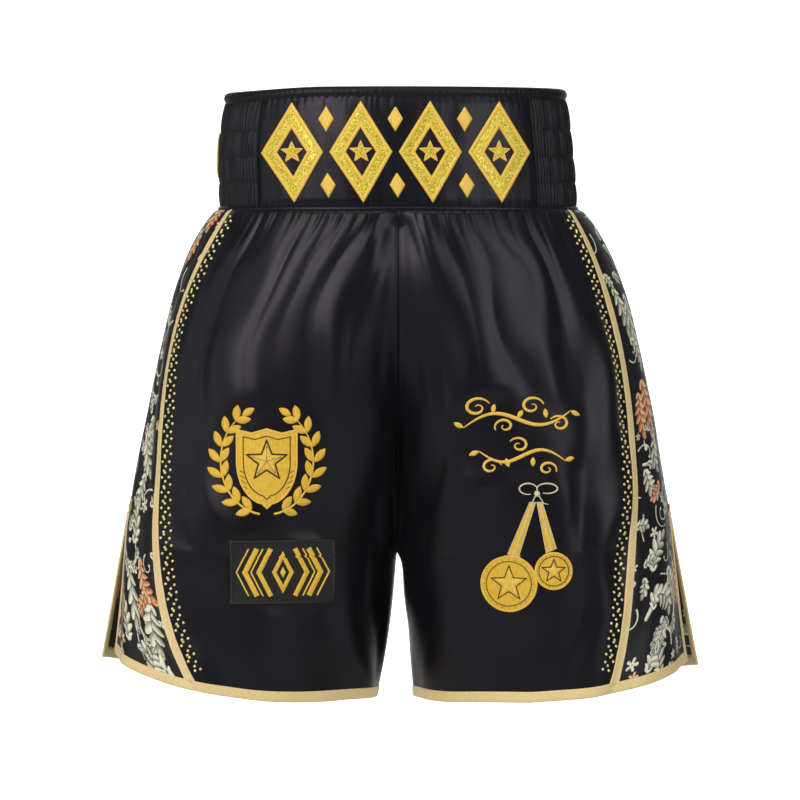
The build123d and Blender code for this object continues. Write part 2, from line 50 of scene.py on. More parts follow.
# ---- Sizes in millimetres ----
# Read from the CAD model
welt_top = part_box("waist_seam_welt")[1]
band_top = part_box("waistband_front_panel")[1]
ruffle_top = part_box("waistband_top_ruffle")[1]
tack_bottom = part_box("left_vent_bar_tack")[0]
WELT_PROUD = 1.6  # how far the welt stands out from the cloth
WAIST_HALF_WIDTH = welt_top.x / MM - WELT_PROUD
WAIST_HALF_DEPTH = welt_top.y / MM - WELT_PROUD
BAND_TOP = band_top.z / MM
BAND_PANEL_HALF_WIDTH = band_top.x / MM
RUFFLE_TOP = ruffle_top.z / MM
VENT_TOP_Z = tack_bottom.z / MM - 1.0

# Repeated from the part's source
VENT_HALF_GAP = 17.0
HIP_FLARE = 28.4
HIP_FLARE_DROP = 32.0
LEG_SLOPE = 0.1975
DEPTH_FLARE = 24.0
DEPTH_FLARE_DROP = 45.0
DEPTH_SLOPE = 0.07
PARTING_START = 0.2  # how fast the two leg ovals part below the waist
PARTING_END = 0.363  # and above the crotch
INSIDE_SLOPE = 0.15  # how fast the insides of the legs part below the crotch
CROTCH_Z = -296.0
HEM_Z = -423.0
TAPE_WIDTH = 8.5

# Chosen here
HEM_RISE = 32.0
HEM_RISE_BEHIND = 26.0
HEM_LOWEST_X = 11.0  # towards the wearer's left

# The seam between a front panel and a side panel on each leg, as (height, distance from the middle)
SEAM = {
    1: [(0, 147), (-35, 164), (-70, 179), (-126, 191), (-186, 201),
        (-255, 202), (-302, 200), (-349, 195), (-395, 186)],
    -1: [(0, 144), (-43, 169), (-94, 189), (-159, 200), (-208, 205),
         (-268, 207), (-313, 206), (-351, 198), (-403, 176)],
}
seam_fit = {side: np.polyfit(*np.array(points, float).T, 6) for side, points in SEAM.items()}


# ---- Small tools ----
def smooth(x, low, high):
    """0 below low, 1 above high, with an S-curve between."""
    t = np.clip((x - low) / (high - low), 0.0, 1.0)
    return t * t * (3 - 2 * t)


def bell(x, width):
    """1 at 0, falling away over about the width on both sides."""
    return np.exp(-(x / width) ** 2)


def matched(*values):
    """The same values as arrays of one shape."""
    return np.broadcast_arrays(*(np.asarray(value, float) for value in values))


def wobble(t, seed, terms=6):
    """A smooth wandering curve of t, about -1 to 1, whose shortest wave is about 2 long."""
    chance = np.random.default_rng(seed)
    total = np.zeros_like(np.asarray(t, float))
    for _ in range(terms):
        total += np.sin(t * chance.uniform(0.9, 3.1) + chance.uniform(0, tau)) * chance.uniform(0.5, 1.0)
    return total / sqrt(terms)


def ripple(a, b, seed, terms=9):
    """A smooth wandering surface over (a, b), about -1 to 1, with waves about 2 to 6 long."""
    chance = np.random.default_rng(seed)
    total = np.zeros(np.broadcast(a, b).shape)
    for _ in range(terms):
        turn, pace = chance.uniform(0, tau), chance.uniform(1.0, 3.0)
        total += np.sin(pace * (a * cos(turn) + b * sin(turn)) + chance.uniform(0, tau))
    return total / sqrt(terms)


def pleats(q, spacing, seed, sharpness=0.8):
    """Rounded ridges with narrow valleys between them, unevenly spaced along q."""
    phase = tau * q / spacing + 1.7 * wobble(q / (spacing * 1.6), seed)
    size = 0.72 + 0.4 * wobble(q / (spacing * 1.3), seed + 1)
    return (np.abs(np.sin(phase / 2)) ** sharpness - 0.6) * size


def unit(v):
    return v / np.maximum(np.linalg.norm(v, axis=-1, keepdims=True), 1e-9)


# ---- Meshes ----
def mesh_piece(name, points, faces, uvs=None, material=None, slot=None, node=(), smooth_faces=True):
    """A piece from points in millimetres. uvs has one pair for each point, in metres of cloth."""
    mesh = bpy.data.meshes.new(name)
    mesh.from_pydata((np.asarray(points, float) * MM).tolist(), [], [list(map(int, f)) for f in faces])
    if uvs is not None:
        layer = mesh.uv_layers.new(name="cloth")
        corners = np.zeros(len(mesh.loops), np.int32)
        mesh.loops.foreach_get("vertex_index", corners)
        layer.data.foreach_set("uv", (np.asarray(uvs, float)[corners] * MM).astype(np.float32).ravel())
    mesh.polygons.foreach_set("use_smooth", [smooth_faces] * len(mesh.polygons))
    mesh.update()
    piece = bpy.data.objects.new(name, mesh)
    bpy.context.scene.collection.objects.link(piece)
    if material:
        mesh.materials.append(material)
    if node:
        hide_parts(*([node] if isinstance(node, str) else node))
    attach(piece, BODY)
    return piece


def grid_faces(rows, cols, first=0, wrap_cols=False, wrap_rows=False):
    """Quads over a grid of points numbered row by row."""
    r = np.arange(rows if wrap_rows else rows - 1)
    c = np.arange(cols if wrap_cols else cols - 1)
    r, c = np.meshgrid(r, c, indexing="ij")
    r2, c2 = (r + 1) % rows, (c + 1) % cols
    quads = np.stack([r * cols + c, r * cols + c2, r2 * cols + c2, r2 * cols + c], -1)
    return quads.reshape(-1, 4) + first


class Parts:
    """Several grids and shells gathered into one mesh."""

    def __init__(self):
        self.points, self.faces, self.uvs, self.count = [], [], [], 0

    def add(self, points, faces, uvs=None):
        points = np.asarray(points, float).reshape(-1, 3)
        self.faces += [[int(i) + self.count for i in f] for f in faces]
        self.points.append(points)
        self.uvs.append(np.zeros((len(points), 2)) if uvs is None else np.asarray(uvs, float).reshape(-1, 2))
        self.count += len(points)

    def piece(self, name, **kwargs):
        return mesh_piece(name, np.concatenate(self.points), self.faces, np.concatenate(self.uvs), **kwargs)


def edit_faces(piece, operation):
    """Runs one bmesh operation on all faces of a piece."""
    edit = bmesh.new()
    edit.from_mesh(piece.data)
    operation(edit, faces=edit.faces)
    edit.to_mesh(piece.data)
    edit.free()
    piece.data.update()
    return piece


def open_piece(name, parts, look, slot, node=()):
    return parts.piece(name, material=LOOKS[look], slot=slot, node=node)


def closed_piece(name, parts, look, slot, node=()):
    """A piece of closed shells, with their faces turned outwards."""
    return edit_faces(open_piece(name, parts, look, slot, node), bmesh.ops.recalc_face_normals)


def tube(parts, sections, uvs, closed=False):
    """Outlines joined in a row. The first and the last are joined too if closed, and filled if not."""
    sections = np.asarray(sections)
    rows, cols = sections.shape[:2]
    faces = grid_faces(rows, cols, wrap_cols=True, wrap_rows=closed).tolist()
    if not closed:
        faces += [list(range(cols))[::-1], [(rows - 1) * cols + i for i in range(cols)]]
    parts.add(sections, faces, uvs)


def thicken(piece, thickness, offset=-1.0):
    shell = piece.modifiers.new("thickness", "SOLIDIFY")
    shell.thickness = thickness * MM
    shell.offset = offset
    shell.use_even_offset = False
    return piece


def sheet_of(piece, points):
    """Sums a cloth grid's width and length on the flat, and does nothing more with them."""
    rows = np.linalg.norm(np.diff(points, axis=1), axis=2).sum(1)
    cols = np.linalg.norm(np.diff(points, axis=0), axis=2).sum(0)


# ---- Materials ----
class Look:
    """A node material with a Principled shader, built up by a few short calls."""

    def __init__(self, name, roughness, metallic=0.0, specular=0.5, specular_tint=(1, 1, 1),
                 sheen=0.0, sheen_tint=(1, 1, 1), sheen_rough=0.5):
        self.material = bpy.data.materials.new(name)
        self.material.use_nodes = True
        self.nodes = self.material.node_tree.nodes
        self.links = self.material.node_tree.links
        self.shader = self.nodes["Principled BSDF"]
        values = {
            "Roughness": roughness,
            "Metallic": metallic,
            "Specular IOR Level": specular,
            "Specular Tint": (*specular_tint, 1.0),
            "Sheen Weight": sheen,
            "Sheen Roughness": sheen_rough,
            "Sheen Tint": (*sheen_tint, 1.0),
        }
        for socket, value in values.items():
            self.shader.inputs[socket].default_value = value

    def node(self, kind, inputs=(), **settings):
        made = self.nodes.new(kind)
        for key, value in settings.items():
            setattr(made, key, value)
        for key, value in dict(inputs).items():
            if isinstance(value, bpy.types.NodeSocket):
                self.links.new(value, made.inputs[key])
            else:
                made.inputs[key].default_value = value
        return made

    def math(self, operation, a, b=0.0, c=0.0):
        return self.node("ShaderNodeMath", {0: a, 1: b, 2: c}, operation=operation).outputs[0]

    def blend(self, a, share_a, b, share_b):
        """a times its share plus b times its share."""
        return self.math("MULTIPLY_ADD", a, share_a, self.math("MULTIPLY", b, share_b))

    def uv(self, scale=(1.0, 1.0)):
        """Metres of flat cloth."""
        source = self.node("ShaderNodeUVMap", uv_map="cloth").outputs["UV"]
        inputs = {0: source, 1: (*scale, 1.0)}
        return self.node("ShaderNodeVectorMath", inputs, operation="MULTIPLY").outputs[0]

    def place(self):
        """Metres in the object's own frame."""
        source = self.node("ShaderNodeTexCoord").outputs["Object"]
        return self.node("ShaderNodeVectorMath", {0: source, 3: 1.0}, operation="SCALE").outputs[0]

    def noise(self, vector, scale, detail=2.0):
        inputs = {"Vector": vector, "Scale": scale, "Detail": detail}
        return self.node("ShaderNodeTexNoise", inputs).outputs["Fac"]

    def ramp(self, factor, *stops):
        ramp = self.node("ShaderNodeValToRGB", {"Fac": factor})
        elements = ramp.color_ramp.elements
        while len(elements) < len(stops):
            elements.new(0.5)
        for element, (position, colour) in zip(elements, stops):
            element.position = position
            element.color = (*colour, 1.0)
        return ramp.outputs["Color"]

    def mix(self, factor, a, b):
        mixed = self.node("ShaderNodeMix", data_type="RGBA")
        for socket, value in ((0, factor), (6, a), (7, b)):
            if isinstance(value, bpy.types.NodeSocket):
                self.links.new(value, mixed.inputs[socket])
            elif socket == 0:
                mixed.inputs[socket].default_value = value
            else:
                mixed.inputs[socket].default_value = (*value, 1.0)
        return mixed.outputs[2]

    def span(self, value, low, high, to_low=0.0, to_high=1.0):
        return self.node("ShaderNodeMapRange", {"Value": value, "From Min": low, "From Max": high,
                                                "To Min": to_low, "To Max": to_high}).outputs[0]

    def colour(self, value):
        self.links.new(value, self.shader.inputs["Base Color"])

    def rough(self, value):
        self.links.new(value, self.shader.inputs["Roughness"])

    def bump(self, height, distance, strength=1.0):
        """Bump by a height of 0 to 1, over a distance in millimetres."""
        inputs = {"Height": height, "Strength": strength, "Distance": distance * MM}
        made = self.node("ShaderNodeBump", inputs)
        self.links.new(made.outputs["Normal"], self.shader.inputs["Normal"])

    def waves(self, vector, pitch, direction="X", distortion=0.0):
        """Even ridges, one for each pitch in millimetres of cloth."""
        inputs = {"Vector": vector, "Scale": tau / 20 / (pitch * MM), "Distortion": distortion, "Detail": 0.0}
        wave = self.node("ShaderNodeTexWave", inputs, bands_direction=direction, wave_profile="SIN")
        return wave.outputs["Fac"]


def weave(look, pitch=0.42):
    """Fine crossed threads with longer floats one way, as satin has."""
    across = look.waves(look.uv(), pitch, "X")
    along = look.waves(look.uv((1.0, 0.35)), pitch, "Y")
    return look.blend(along, 0.45, across, 0.55)


def satin(name, dark, light, roughness=0.4):
    look = Look(name, roughness, specular=0.25, specular_tint=(0.94, 0.90, 1.0),
                sheen=0.08, sheen_tint=(0.80, 0.78, 0.95), sheen_rough=0.35)
    drift = look.noise(look.place(), 14.0, 3.0)
    fine = look.noise(look.place(), 900.0, 2.0)
    look.colour(look.mix(look.blend(fine, 0.35, drift, 0.65), dark, light))
    gloss = look.math("MULTIPLY_ADD", fine, 0.5, drift)
    look.rough(look.span(gloss, 0.5, 1.1, roughness - 0.05, roughness + 0.09))
    look.bump(weave(look), 0.05, 0.5)
    return look.material


def gold_tape():
    look = Look("gold_binding", 0.45, specular=0.45, sheen=0.25, sheen_tint=(1.0, 0.9, 0.6), sheen_rough=0.4)
    grain = look.noise(look.uv((1.0, 4.0)), 320.0, 3.0)
    drift = look.noise(look.place(), 30.0, 2.0)
    colour = look.mix(drift, (0.74, 0.52, 0.20), (0.88, 0.68, 0.31))
    look.colour(look.mix(look.span(grain, 0.35, 0.7, 0.0, 0.5), colour, (0.98, 0.84, 0.50)))
    ribs = look.waves(look.uv((1.0, 1.0)), 0.5, "DIAGONAL")
    look.bump(look.math("MULTIPLY_ADD", grain, 0.6, ribs), 0.07, 0.55)
    return look.material


def glitter():
    look = Look("glitter_gold", 0.5, metallic=0.25, specular=0.5)
    flakes = look.node("ShaderNodeTexVoronoi", {"Vector": look.place(), "Scale": 1150.0, "Randomness": 1.0})
    separate = look.node("ShaderNodeSeparateColor", {0: flakes.outputs["Color"]})
    look.colour(look.ramp(separate.outputs[0], (0.0, (0.36, 0.25, 0.01)), (0.35, (0.62, 0.47, 0.02)),
                          (0.72, (0.78, 0.62, 0.035)), (1.0, (1.0, 0.90, 0.25))))
    look.rough(look.span(separate.outputs[1], 0.0, 1.0, 0.32, 0.6))
    look.bump(separate.outputs[2], 0.35, 0.7)
    return look.material


def thread(name, dark, mid, light, pitch=0.55, roughness=0.42):
    """Satin stitch: parallel threads across the stroke, with a soft gloss. Its colour is painted shade in the
    grooves between the threads and painted highlight on their crests, mixed with a random tone.
    """
    look = Look(name, roughness, specular=0.35, sheen=0.15, sheen_tint=mid, sheen_rough=0.3)
    strand = look.waves(look.uv(), pitch, "X", 0.6)
    tone = look.noise(look.uv((1.0, 0.25)), 700.0, 2.0)
    # painted shade and highlight: the thread waves darken the grooves and lighten the crests; the noise is
    # the thread's own random tone
    look.colour(look.ramp(look.blend(strand, 0.45, tone, 0.7), (0.15, dark), (0.5, mid), (0.95, light)))
    look.bump(look.math("MULTIPLY_ADD", tone, 0.3, strand), 0.16, 0.8)
    return look.material


def stud_metal():
    look = Look("brass_studs", 0.3, metallic=0.75, specular=0.5)
    drift = look.noise(look.place(), 400.0, 1.0)
    look.colour(look.mix(drift, (0.80, 0.68, 0.22), (0.98, 0.92, 0.50)))
    look.bump(look.noise(look.place(), 1400.0, 1.0), 0.03, 0.3)
    return look.material


def plain_cloth(name, low, high, pitch, roughness=0.8):
    look = Look(name, roughness, specular=0.3, sheen=0.2)
    look.colour(look.mix(look.noise(look.place(), 60.0, 3.0), low, high))
    look.bump(look.waves(look.uv(), pitch, "X"), 0.25, 0.7)
    return look.material


def printed():
    """Black satin with a print, which the mesh's attributes hold.

    "print" says how far a point is inside a pale, a veined and a warm shape, and "tone" how light it is.
    """
    look = Look("printed_satin", 0.42, specular=0.34, sheen=0.08, sheen_tint=(0.8, 0.8, 0.9),
                sheen_rough=0.35)
    fields = look.node("ShaderNodeAttribute", attribute_name="print").outputs["Vector"]
    split = look.node("ShaderNodeSeparateXYZ", {0: fields})
    tones = look.node("ShaderNodeAttribute", attribute_name="tone").outputs["Vector"]
    tone = look.node("ShaderNodeSeparateXYZ", {0: tones})
    edge = 0.18  # half the width of a shape's soft edge, in millimetres
    pale, vein, warm = (look.span(split.outputs[i], -edge, edge) for i in range(3))
    mottled = look.math("MULTIPLY_ADD", look.noise(look.place(), 260.0, 3.0), 0.35, tone.outputs[0])
    cream = look.ramp(mottled, (0.2, (0.09, 0.09, 0.075)), (0.55, (0.46, 0.45, 0.33)),
                      (0.85, (0.90, 0.87, 0.66)))
    amber = look.ramp(mottled, (0.2, (0.34, 0.07, 0.025)), (0.55, (0.68, 0.26, 0.10)),
                      (0.9, (0.92, 0.62, 0.33)))
    night = look.mix(look.noise(look.place(), 14.0, 3.0), (0.0045, 0.0040, 0.0045), (0.009, 0.008, 0.009))
    inked = look.mix(warm, cream, amber)
    shape = look.math("MAXIMUM", pale, warm)
    drawn = look.mix(look.math("MULTIPLY", vein, 0.85), inked, (0.035, 0.033, 0.028))
    look.colour(look.mix(shape, night, drawn))
    look.rough(look.span(shape, 0.0, 1.0, 0.42, 0.52))
    look.bump(weave(look), 0.05, 0.5)
    return look.material


def floor_look():
    """Pale grey floor paper with a painted glow, stronger behind and towards the middle, where it rises into
    the backdrop.
    """
    look = Look("pale_floor", 0.9, specular=0.1)
    look.colour(look.mix(look.noise(look.place(), 3.0, 2.0), (0.80, 0.80, 0.80), (0.84, 0.84, 0.84)))
    split = look.node("ShaderNodeSeparateXYZ", {0: look.place()})
    aside = look.span(look.math("ABSOLUTE", split.outputs[0]), 1.3, 2.6, 1.0, 0.0)
    behind = look.span(split.outputs[1], 1.6, 3.2, 0.0, 1.0)
    # painted light: the backdrop glows by its own emission, in place of lamps lighting it
    glow = look.math("MULTIPLY", look.math("MULTIPLY", aside, behind), 1.15)
    look.links.new(glow, look.shader.inputs["Emission Strength"])
    look.shader.inputs["Emission Color"].default_value = (1.0, 1.0, 1.0, 1.0)
    return look.material


LOOKS = {
    "satin": satin("black_satin", (0.0034, 0.0030, 0.0037), (0.0072, 0.0062, 0.0076), 0.34),
    "shirred": satin("shirred_satin", (0.0040, 0.0036, 0.0040), (0.0080, 0.0070, 0.0078), 0.42),
    "lining": satin("lining_satin", (0.012, 0.011, 0.012), (0.02, 0.019, 0.02), 0.6),
    "print": printed(),
    "tape": gold_tape(),
    "glitter": glitter(),
    "gold": thread("gold_thread", (0.50, 0.24, 0.010), (0.86, 0.50, 0.030), (1.0, 0.70, 0.11)),
    "pale_gold": thread("pale_gold_thread", (0.62, 0.30, 0.018), (0.95, 0.58, 0.055), (1.0, 0.80, 0.22)),
    "cream": thread("pale_thread", (0.40, 0.34, 0.18), (0.72, 0.66, 0.42), (0.90, 0.86, 0.66)),
    "black_thread": thread("black_thread", (0.004, 0.004, 0.004), (0.010, 0.010, 0.011), (0.03, 0.03, 0.032)),
    "studs": stud_metal(),
    "wadding": plain_cloth("interlining", (0.66, 0.65, 0.62), (0.8, 0.79, 0.76), 2.2, 0.95),
    "elastic": plain_cloth("elastic_webbing", (0.58, 0.57, 0.54), (0.75, 0.74, 0.70), 1.6),
    "patch": plain_cloth("patch_twill", (0.006, 0.006, 0.0065), (0.013, 0.0125, 0.0135), 0.8, 0.7),
}


# ---- The shape of a leg ----
def half_width(z):
    drop = np.maximum(0.0, -z)
    return WAIST_HALF_WIDTH + HIP_FLARE * (1 - np.exp(-drop / HIP_FLARE_DROP)) + LEG_SLOPE * drop


def half_depth(z):
    drop = np.maximum(0.0, -z)
    return WAIST_HALF_DEPTH + DEPTH_FLARE * (1 - np.exp(-drop / DEPTH_FLARE_DROP)) - DEPTH_SLOPE * drop


def bare_oval(z):
    """(centre, half width, half depth) of a leg's oval. Above the crotch the two ovals merge."""
    z = np.asarray(z, float)
    wide = half_width(z)
    t = np.clip(z / CROTCH_Z, 0.0, 1.0)
    merge = t * t * (3 - 2 * t) + PARTING_END * t * t * (t - 1) + PARTING_START * t * (t - 1) ** 2
    inside = INSIDE_SLOPE * np.maximum(0.0, CROTCH_Z - z)
    centre = np.where(z > CROTCH_Z, wide * merge / (1 + merge), (wide + inside) / 2)
    radius = np.where(z > CROTCH_Z, wide / (1 + merge), (wide - inside) / 2)
    return centre, radius, half_depth(z)


def leg_oval(z):
    """The same averaged over a short height near the crotch, so that the cloth has no ledge there."""
    spread = 14.0 * smooth(-z, 130, 230)
    near = [bare_oval(z + i * spread) for i in (-2, -1, 0, 1, 2)]
    return [(a + 3 * b + 4 * c + 3 * d + e) / 12 for a, b, c, d, e in zip(*near)]


def middle_angle(z):
    """The angle from the side at which the oval meets the middle plane or the inside of the leg."""
    centre, wide, _ = leg_oval(z)
    return np.arccos(np.clip(-centre / wide, -1.0, 1.0))


def seam_angle(z, side):
    centre, wide, _ = leg_oval(z)
    x = np.polyval(seam_fit[side], z)
    return np.arccos(np.clip((x - centre) / wide, -1.0, 1.0))


def vent_angle(z):
    """Half the opening of the vent, as an angle."""
    gap = 0.2 + VENT_HALF_GAP * np.maximum(0.0, VENT_TOP_Z - z) / (VENT_TOP_Z - HEM_Z)
    return np.arcsin(np.clip(gap / leg_oval(z)[2], 0.0, 1.0))


def hem_of(x, side, face):
    """The hem's height. It hangs lowest a little to the wearer's left, and rises less behind."""
    rise = HEM_RISE if face < 0 else HEM_RISE_BEHIND
    return HEM_Z + rise * (np.abs(x - HEM_LOWEST_X * side) / 250) ** 3


def front_dip(y, z):
    """How far the front of the waist is lowered."""
    return (0.055 + 0.00006 * z) * np.maximum(0.0, -y)


def middle_of(node):
    low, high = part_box(node)
    return (low.x + high.x) / 2 / MM, (low.z + high.z) / 2 / MM


crest_x, crest_z = middle_of("right_leg_crest")
patch_x, patch_z = middle_of("right_leg_patch")
# Where stiff embroidery holds the front cloth flat, as (x, z, half width, half height)
STIFF = {
    -1: [(-crest_x, crest_z, 48, 48), (-patch_x, patch_z, 47, 30)],
    1: [(102, -196, 54, 34), (108, -300, 44, 58)],
}
ROWS = 190
PANEL_COLS, SIDE_COLS = 150, 56


class Quarter:
    """The front or back half of one leg as a grid of points.

    A point's place is (run, drop): run goes from 0 at the middle through 1 at the panel seam to 2 at the side
    seam or vent, and drop from 0 at the waist to 1 at the hem.
    """

    def __init__(self, side, face):
        self.side, self.face = side, face
        self.name = f"{LEG[side]}_{FACE[face]}"
        self.seed = 100 + 10 * side + face
        self.run = np.concatenate([np.linspace(0, 1, PANEL_COLS), np.linspace(1, 2, SIDE_COLS)[1:]])
        self.drop = np.linspace(0, 1, ROWS)
        run, drop = np.meshgrid(self.run, self.drop)
        z = drop * self.hem(run)
        self.points = self.folded(run, z)
        self.normals = self.find_normals(self.points)

    def angle(self, run, z):
        middle, seam, vent = middle_angle(z), seam_angle(z, self.side), vent_angle(z)
        inner = middle + (seam - middle) * run
        outer = seam + (vent - seam) * (run - 1)
        return np.where(run < 1, inner, outer)

    def hem(self, run):
        z = np.full_like(np.asarray(run, float), HEM_Z)
        for _ in range(6):
            centre, wide, _ = leg_oval(z)
            z = hem_of(centre + wide * np.cos(self.angle(run, z)), self.side, self.face)
        return z

    def hem_at(self, run):
        return float(self.hem(np.array([[run]]))[0, 0])

    def flat_point(self, run, z):
        """The leg's shape before any fold."""
        centre, wide, deep = leg_oval(z)
        angle = self.angle(run, z)
        return np.stack([centre + wide * np.cos(angle), self.face * deep * np.sin(angle), z], -1)

    def folded(self, run, z):
        points = self.flat_point(run, z)
        along = np.linalg.norm(np.diff(points, axis=1), axis=2)
        arc = np.concatenate([np.zeros((len(z), 1)), np.cumsum(along, axis=1)], axis=1)
        seam_col = PANEL_COLS - 1
        from_seam = arc - arc[:, seam_col:seam_col + 1]
        from_side = arc[:, -1:] - arc
        depth = -z
        thread = 250.0 + from_seam / (1 + depth / 1500)  # folds hang from the hip and open below it
        normals = self.find_normals(points)
        push = self.folds(thread, depth, arc, from_seam, from_side, run)
        middle = points[:, :1, 0].copy()
        points = points + normals * push[..., None]
        points[..., 0] -= (points[:, :1, 0] - middle) * bell(arc, 24.0)
        points[..., 0] += self.sideways(run, z, arc, from_side)
        points[..., 2] -= front_dip(points[..., 1], 0.0) * np.exp(-depth / 70)
        points[..., 0] *= self.side
        return points

    def folds(self, thread, depth, arc, from_seam, from_side, run):
        s = self.seed
        lean = 0.06 * depth
        stray = 5.0 * ripple(thread / 22, depth / 40, s + 20) * smooth(depth, 4, 50)
        fade = 0.75 + 0.45 * wobble(thread / 16, s + 21)
        tiny = pleats(thread, 5.6, s) * np.exp(-depth / 11) * smooth(depth, -1, 3)
        small = pleats(thread - lean * 0.2 + 0.4 * stray, 11.5, s + 3) * smooth(depth, 0, 10)
        small = small * np.exp(-depth / (26 * np.clip(fade, 0.4, 1.6)))
        medium = pleats(thread - lean * 0.6 + stray, 27.0, s + 6, 1.2) * smooth(depth, 4, 40)
        medium = medium * np.exp(-depth / (150 * np.clip(fade, 0.5, 1.5)))
        reach = smooth(depth, 20, 110) * (1 - 0.25 * smooth(depth, 250, 420))
        long = pleats(thread - lean + stray, 62.0, s + 9, 1.7) * reach
        slack = ripple(arc / 60, depth / 120, s + 12) * smooth(depth, 40, 140)
        crease = ripple(arc / 34 + depth / 90, depth / 80, s + 23) * smooth(depth, 30, 110)
        crinkle = ripple(arc / 13, depth / 26, s + 15) * smooth(depth, 10, 80)
        puff = 5.0 * smooth(depth, -0.5, 5.0) * np.exp(-depth / 30)
        # Each kind of fold with its height in millimetres
        folds = ((tiny, 1.3), (small, 2.6), (medium, 3.7), (long, 7.5),
                 (slack, 2.6), (crease, 1.3), (crinkle, 0.3))
        push = sum(height * fold for fold, height in folds) + puff
        calmer_at = (
            1 - 0.55 * smooth(run, 1.0, 1.1),  # the side panel
            1 - 0.75 * bell(from_seam, 13.0),  # the tape on the panel seam
            smooth(arc, 0, 22),  # the middle seam
            1 - 0.6 * bell(from_side, 16.0) * smooth(depth, 30, 80),  # the tape on the vent
            1 - 0.8 * self.stiffness(arc, depth, run),  # the embroidery
            1 - 0.28 * bell(depth - 75, 60),  # the hip
        )
        for calm in calmer_at:
            push = push * calm
        valley = -(7.0 + 9.0 * smooth(depth, 40, 220)) * bell(arc, 13.0 + 0.02 * depth)
        valley = valley * smooth(depth, 0, 18) * (1 - smooth(depth, 285, 315))
        tuck = -1.0 * bell(from_seam, 3.2)
        return push + valley + tuck

    def stiffness(self, arc, depth, run):
        if self.face > 0:
            return np.zeros_like(arc)
        flat = self.flat_point(run, -depth)
        held = np.zeros_like(arc)
        for x, z, wide, high in STIFF[self.side]:
            across, down = np.abs(flat[..., 0] - x) / wide, np.abs(-depth - z) / high
            held = np.maximum(held, 1 - smooth(np.hypot(across, down), 0.75, 1.35))
        return held

    def sideways(self, run, z, arc, from_side):
        """How far the cloth hangs to the side: the vent's flaps, and the gap between the legs."""
        below = smooth(-z, -VENT_TOP_Z - 25, 395)
        near = bell(from_side, 46.0)
        if self.face < 0:
            shift = -(13.0 if self.side < 0 else 8.5) * below * near
        else:
            shift = (1.5 if self.side > 0 else -1.0) * below * near
        under = np.maximum(0.0, CROTCH_Z - z)
        if self.side > 0:
            gap = 7.0 * (1 - np.exp(-under / 5)) + 0.0004 * under ** 2
            shift = shift + 4.5 * bell(-z - 150, 110) * smooth(run, 0.9, 2.0)
        else:
            gap = 2.0 * (1 - np.exp(-under / 6)) + 0.03 * under + 0.0008 * under ** 2
        return shift + (gap - INSIDE_SLOPE * under) * bell(arc, 34.0)

    def find_normals(self, points):
        across, down = np.gradient(points, axis=1), np.gradient(points, axis=0)
        normals = unit(np.cross(across, down))
        inside_x = self.side * 60.0 if points[0, -1, 0] * self.side > 0 else 60.0
        outward = points[..., :2] - np.array([inside_x, 0.0])
        wrong = (normals[..., 0] * outward[..., 0] + normals[..., 1] * outward[..., 1]).mean() < 0
        return -normals if wrong else normals

    def sample(self, run, drop, lift=0.0):
        """Points of the finished cloth at any (run, drop), raised by lift along its normal."""
        run, drop, lift = matched(run, drop, lift)
        col = np.interp(run, self.run, np.arange(len(self.run)))
        row = np.clip(drop, 0, 1) * (ROWS - 1)
        c0 = np.clip(np.floor(col).astype(int), 0, len(self.run) - 2)
        r0 = np.clip(np.floor(row).astype(int), 0, ROWS - 2)
        fc, fr = (col - c0)[..., None], (row - r0)[..., None]

        def blend(field):
            top = field[r0, c0] * (1 - fc) + field[r0, c0 + 1] * fc
            low = field[r0 + 1, c0] * (1 - fc) + field[r0 + 1, c0 + 1] * fc
            return top * (1 - fr) + low * fr

        return blend(self.points) + unit(blend(self.normals)) * lift[..., None]

    def at(self, x, z, lift=0.0):
        """The point of the front cloth in front of (x, z), where x is the distance from the middle."""
        x, z = np.asarray(x, float), np.asarray(z, float)
        centre, wide, _ = leg_oval(z)
        angle = np.arccos(np.clip((x - centre) / wide, -1.0, 1.0))
        middle, seam, vent = middle_angle(z), seam_angle(z, self.side), vent_angle(z)
        run = np.where(angle > seam, (middle - angle) / (middle - seam), 1 + (seam - angle) / (seam - vent))
        return self.sample(run, z / self.hem(run), lift)

    def shift(self, run, z, distance):
        """The run reached by going a distance in millimetres towards the side from a run, at a height."""
        step = 0.01
        here, there = self.flat_point(run - step, z), self.flat_point(run + step, z)
        return run + distance * 2 * step / np.linalg.norm(there - here, axis=-1)


LEG = {1: "left", -1: "right"}
FACE = {-1: "front", 1: "back"}
QUARTERS = {(side, face): Quarter(side, face) for side in LEG for face in FACE}


# ---- The print on the side panels ----
FAR_OUTSIDE = -6.0  # the value of a print's field away from its shapes


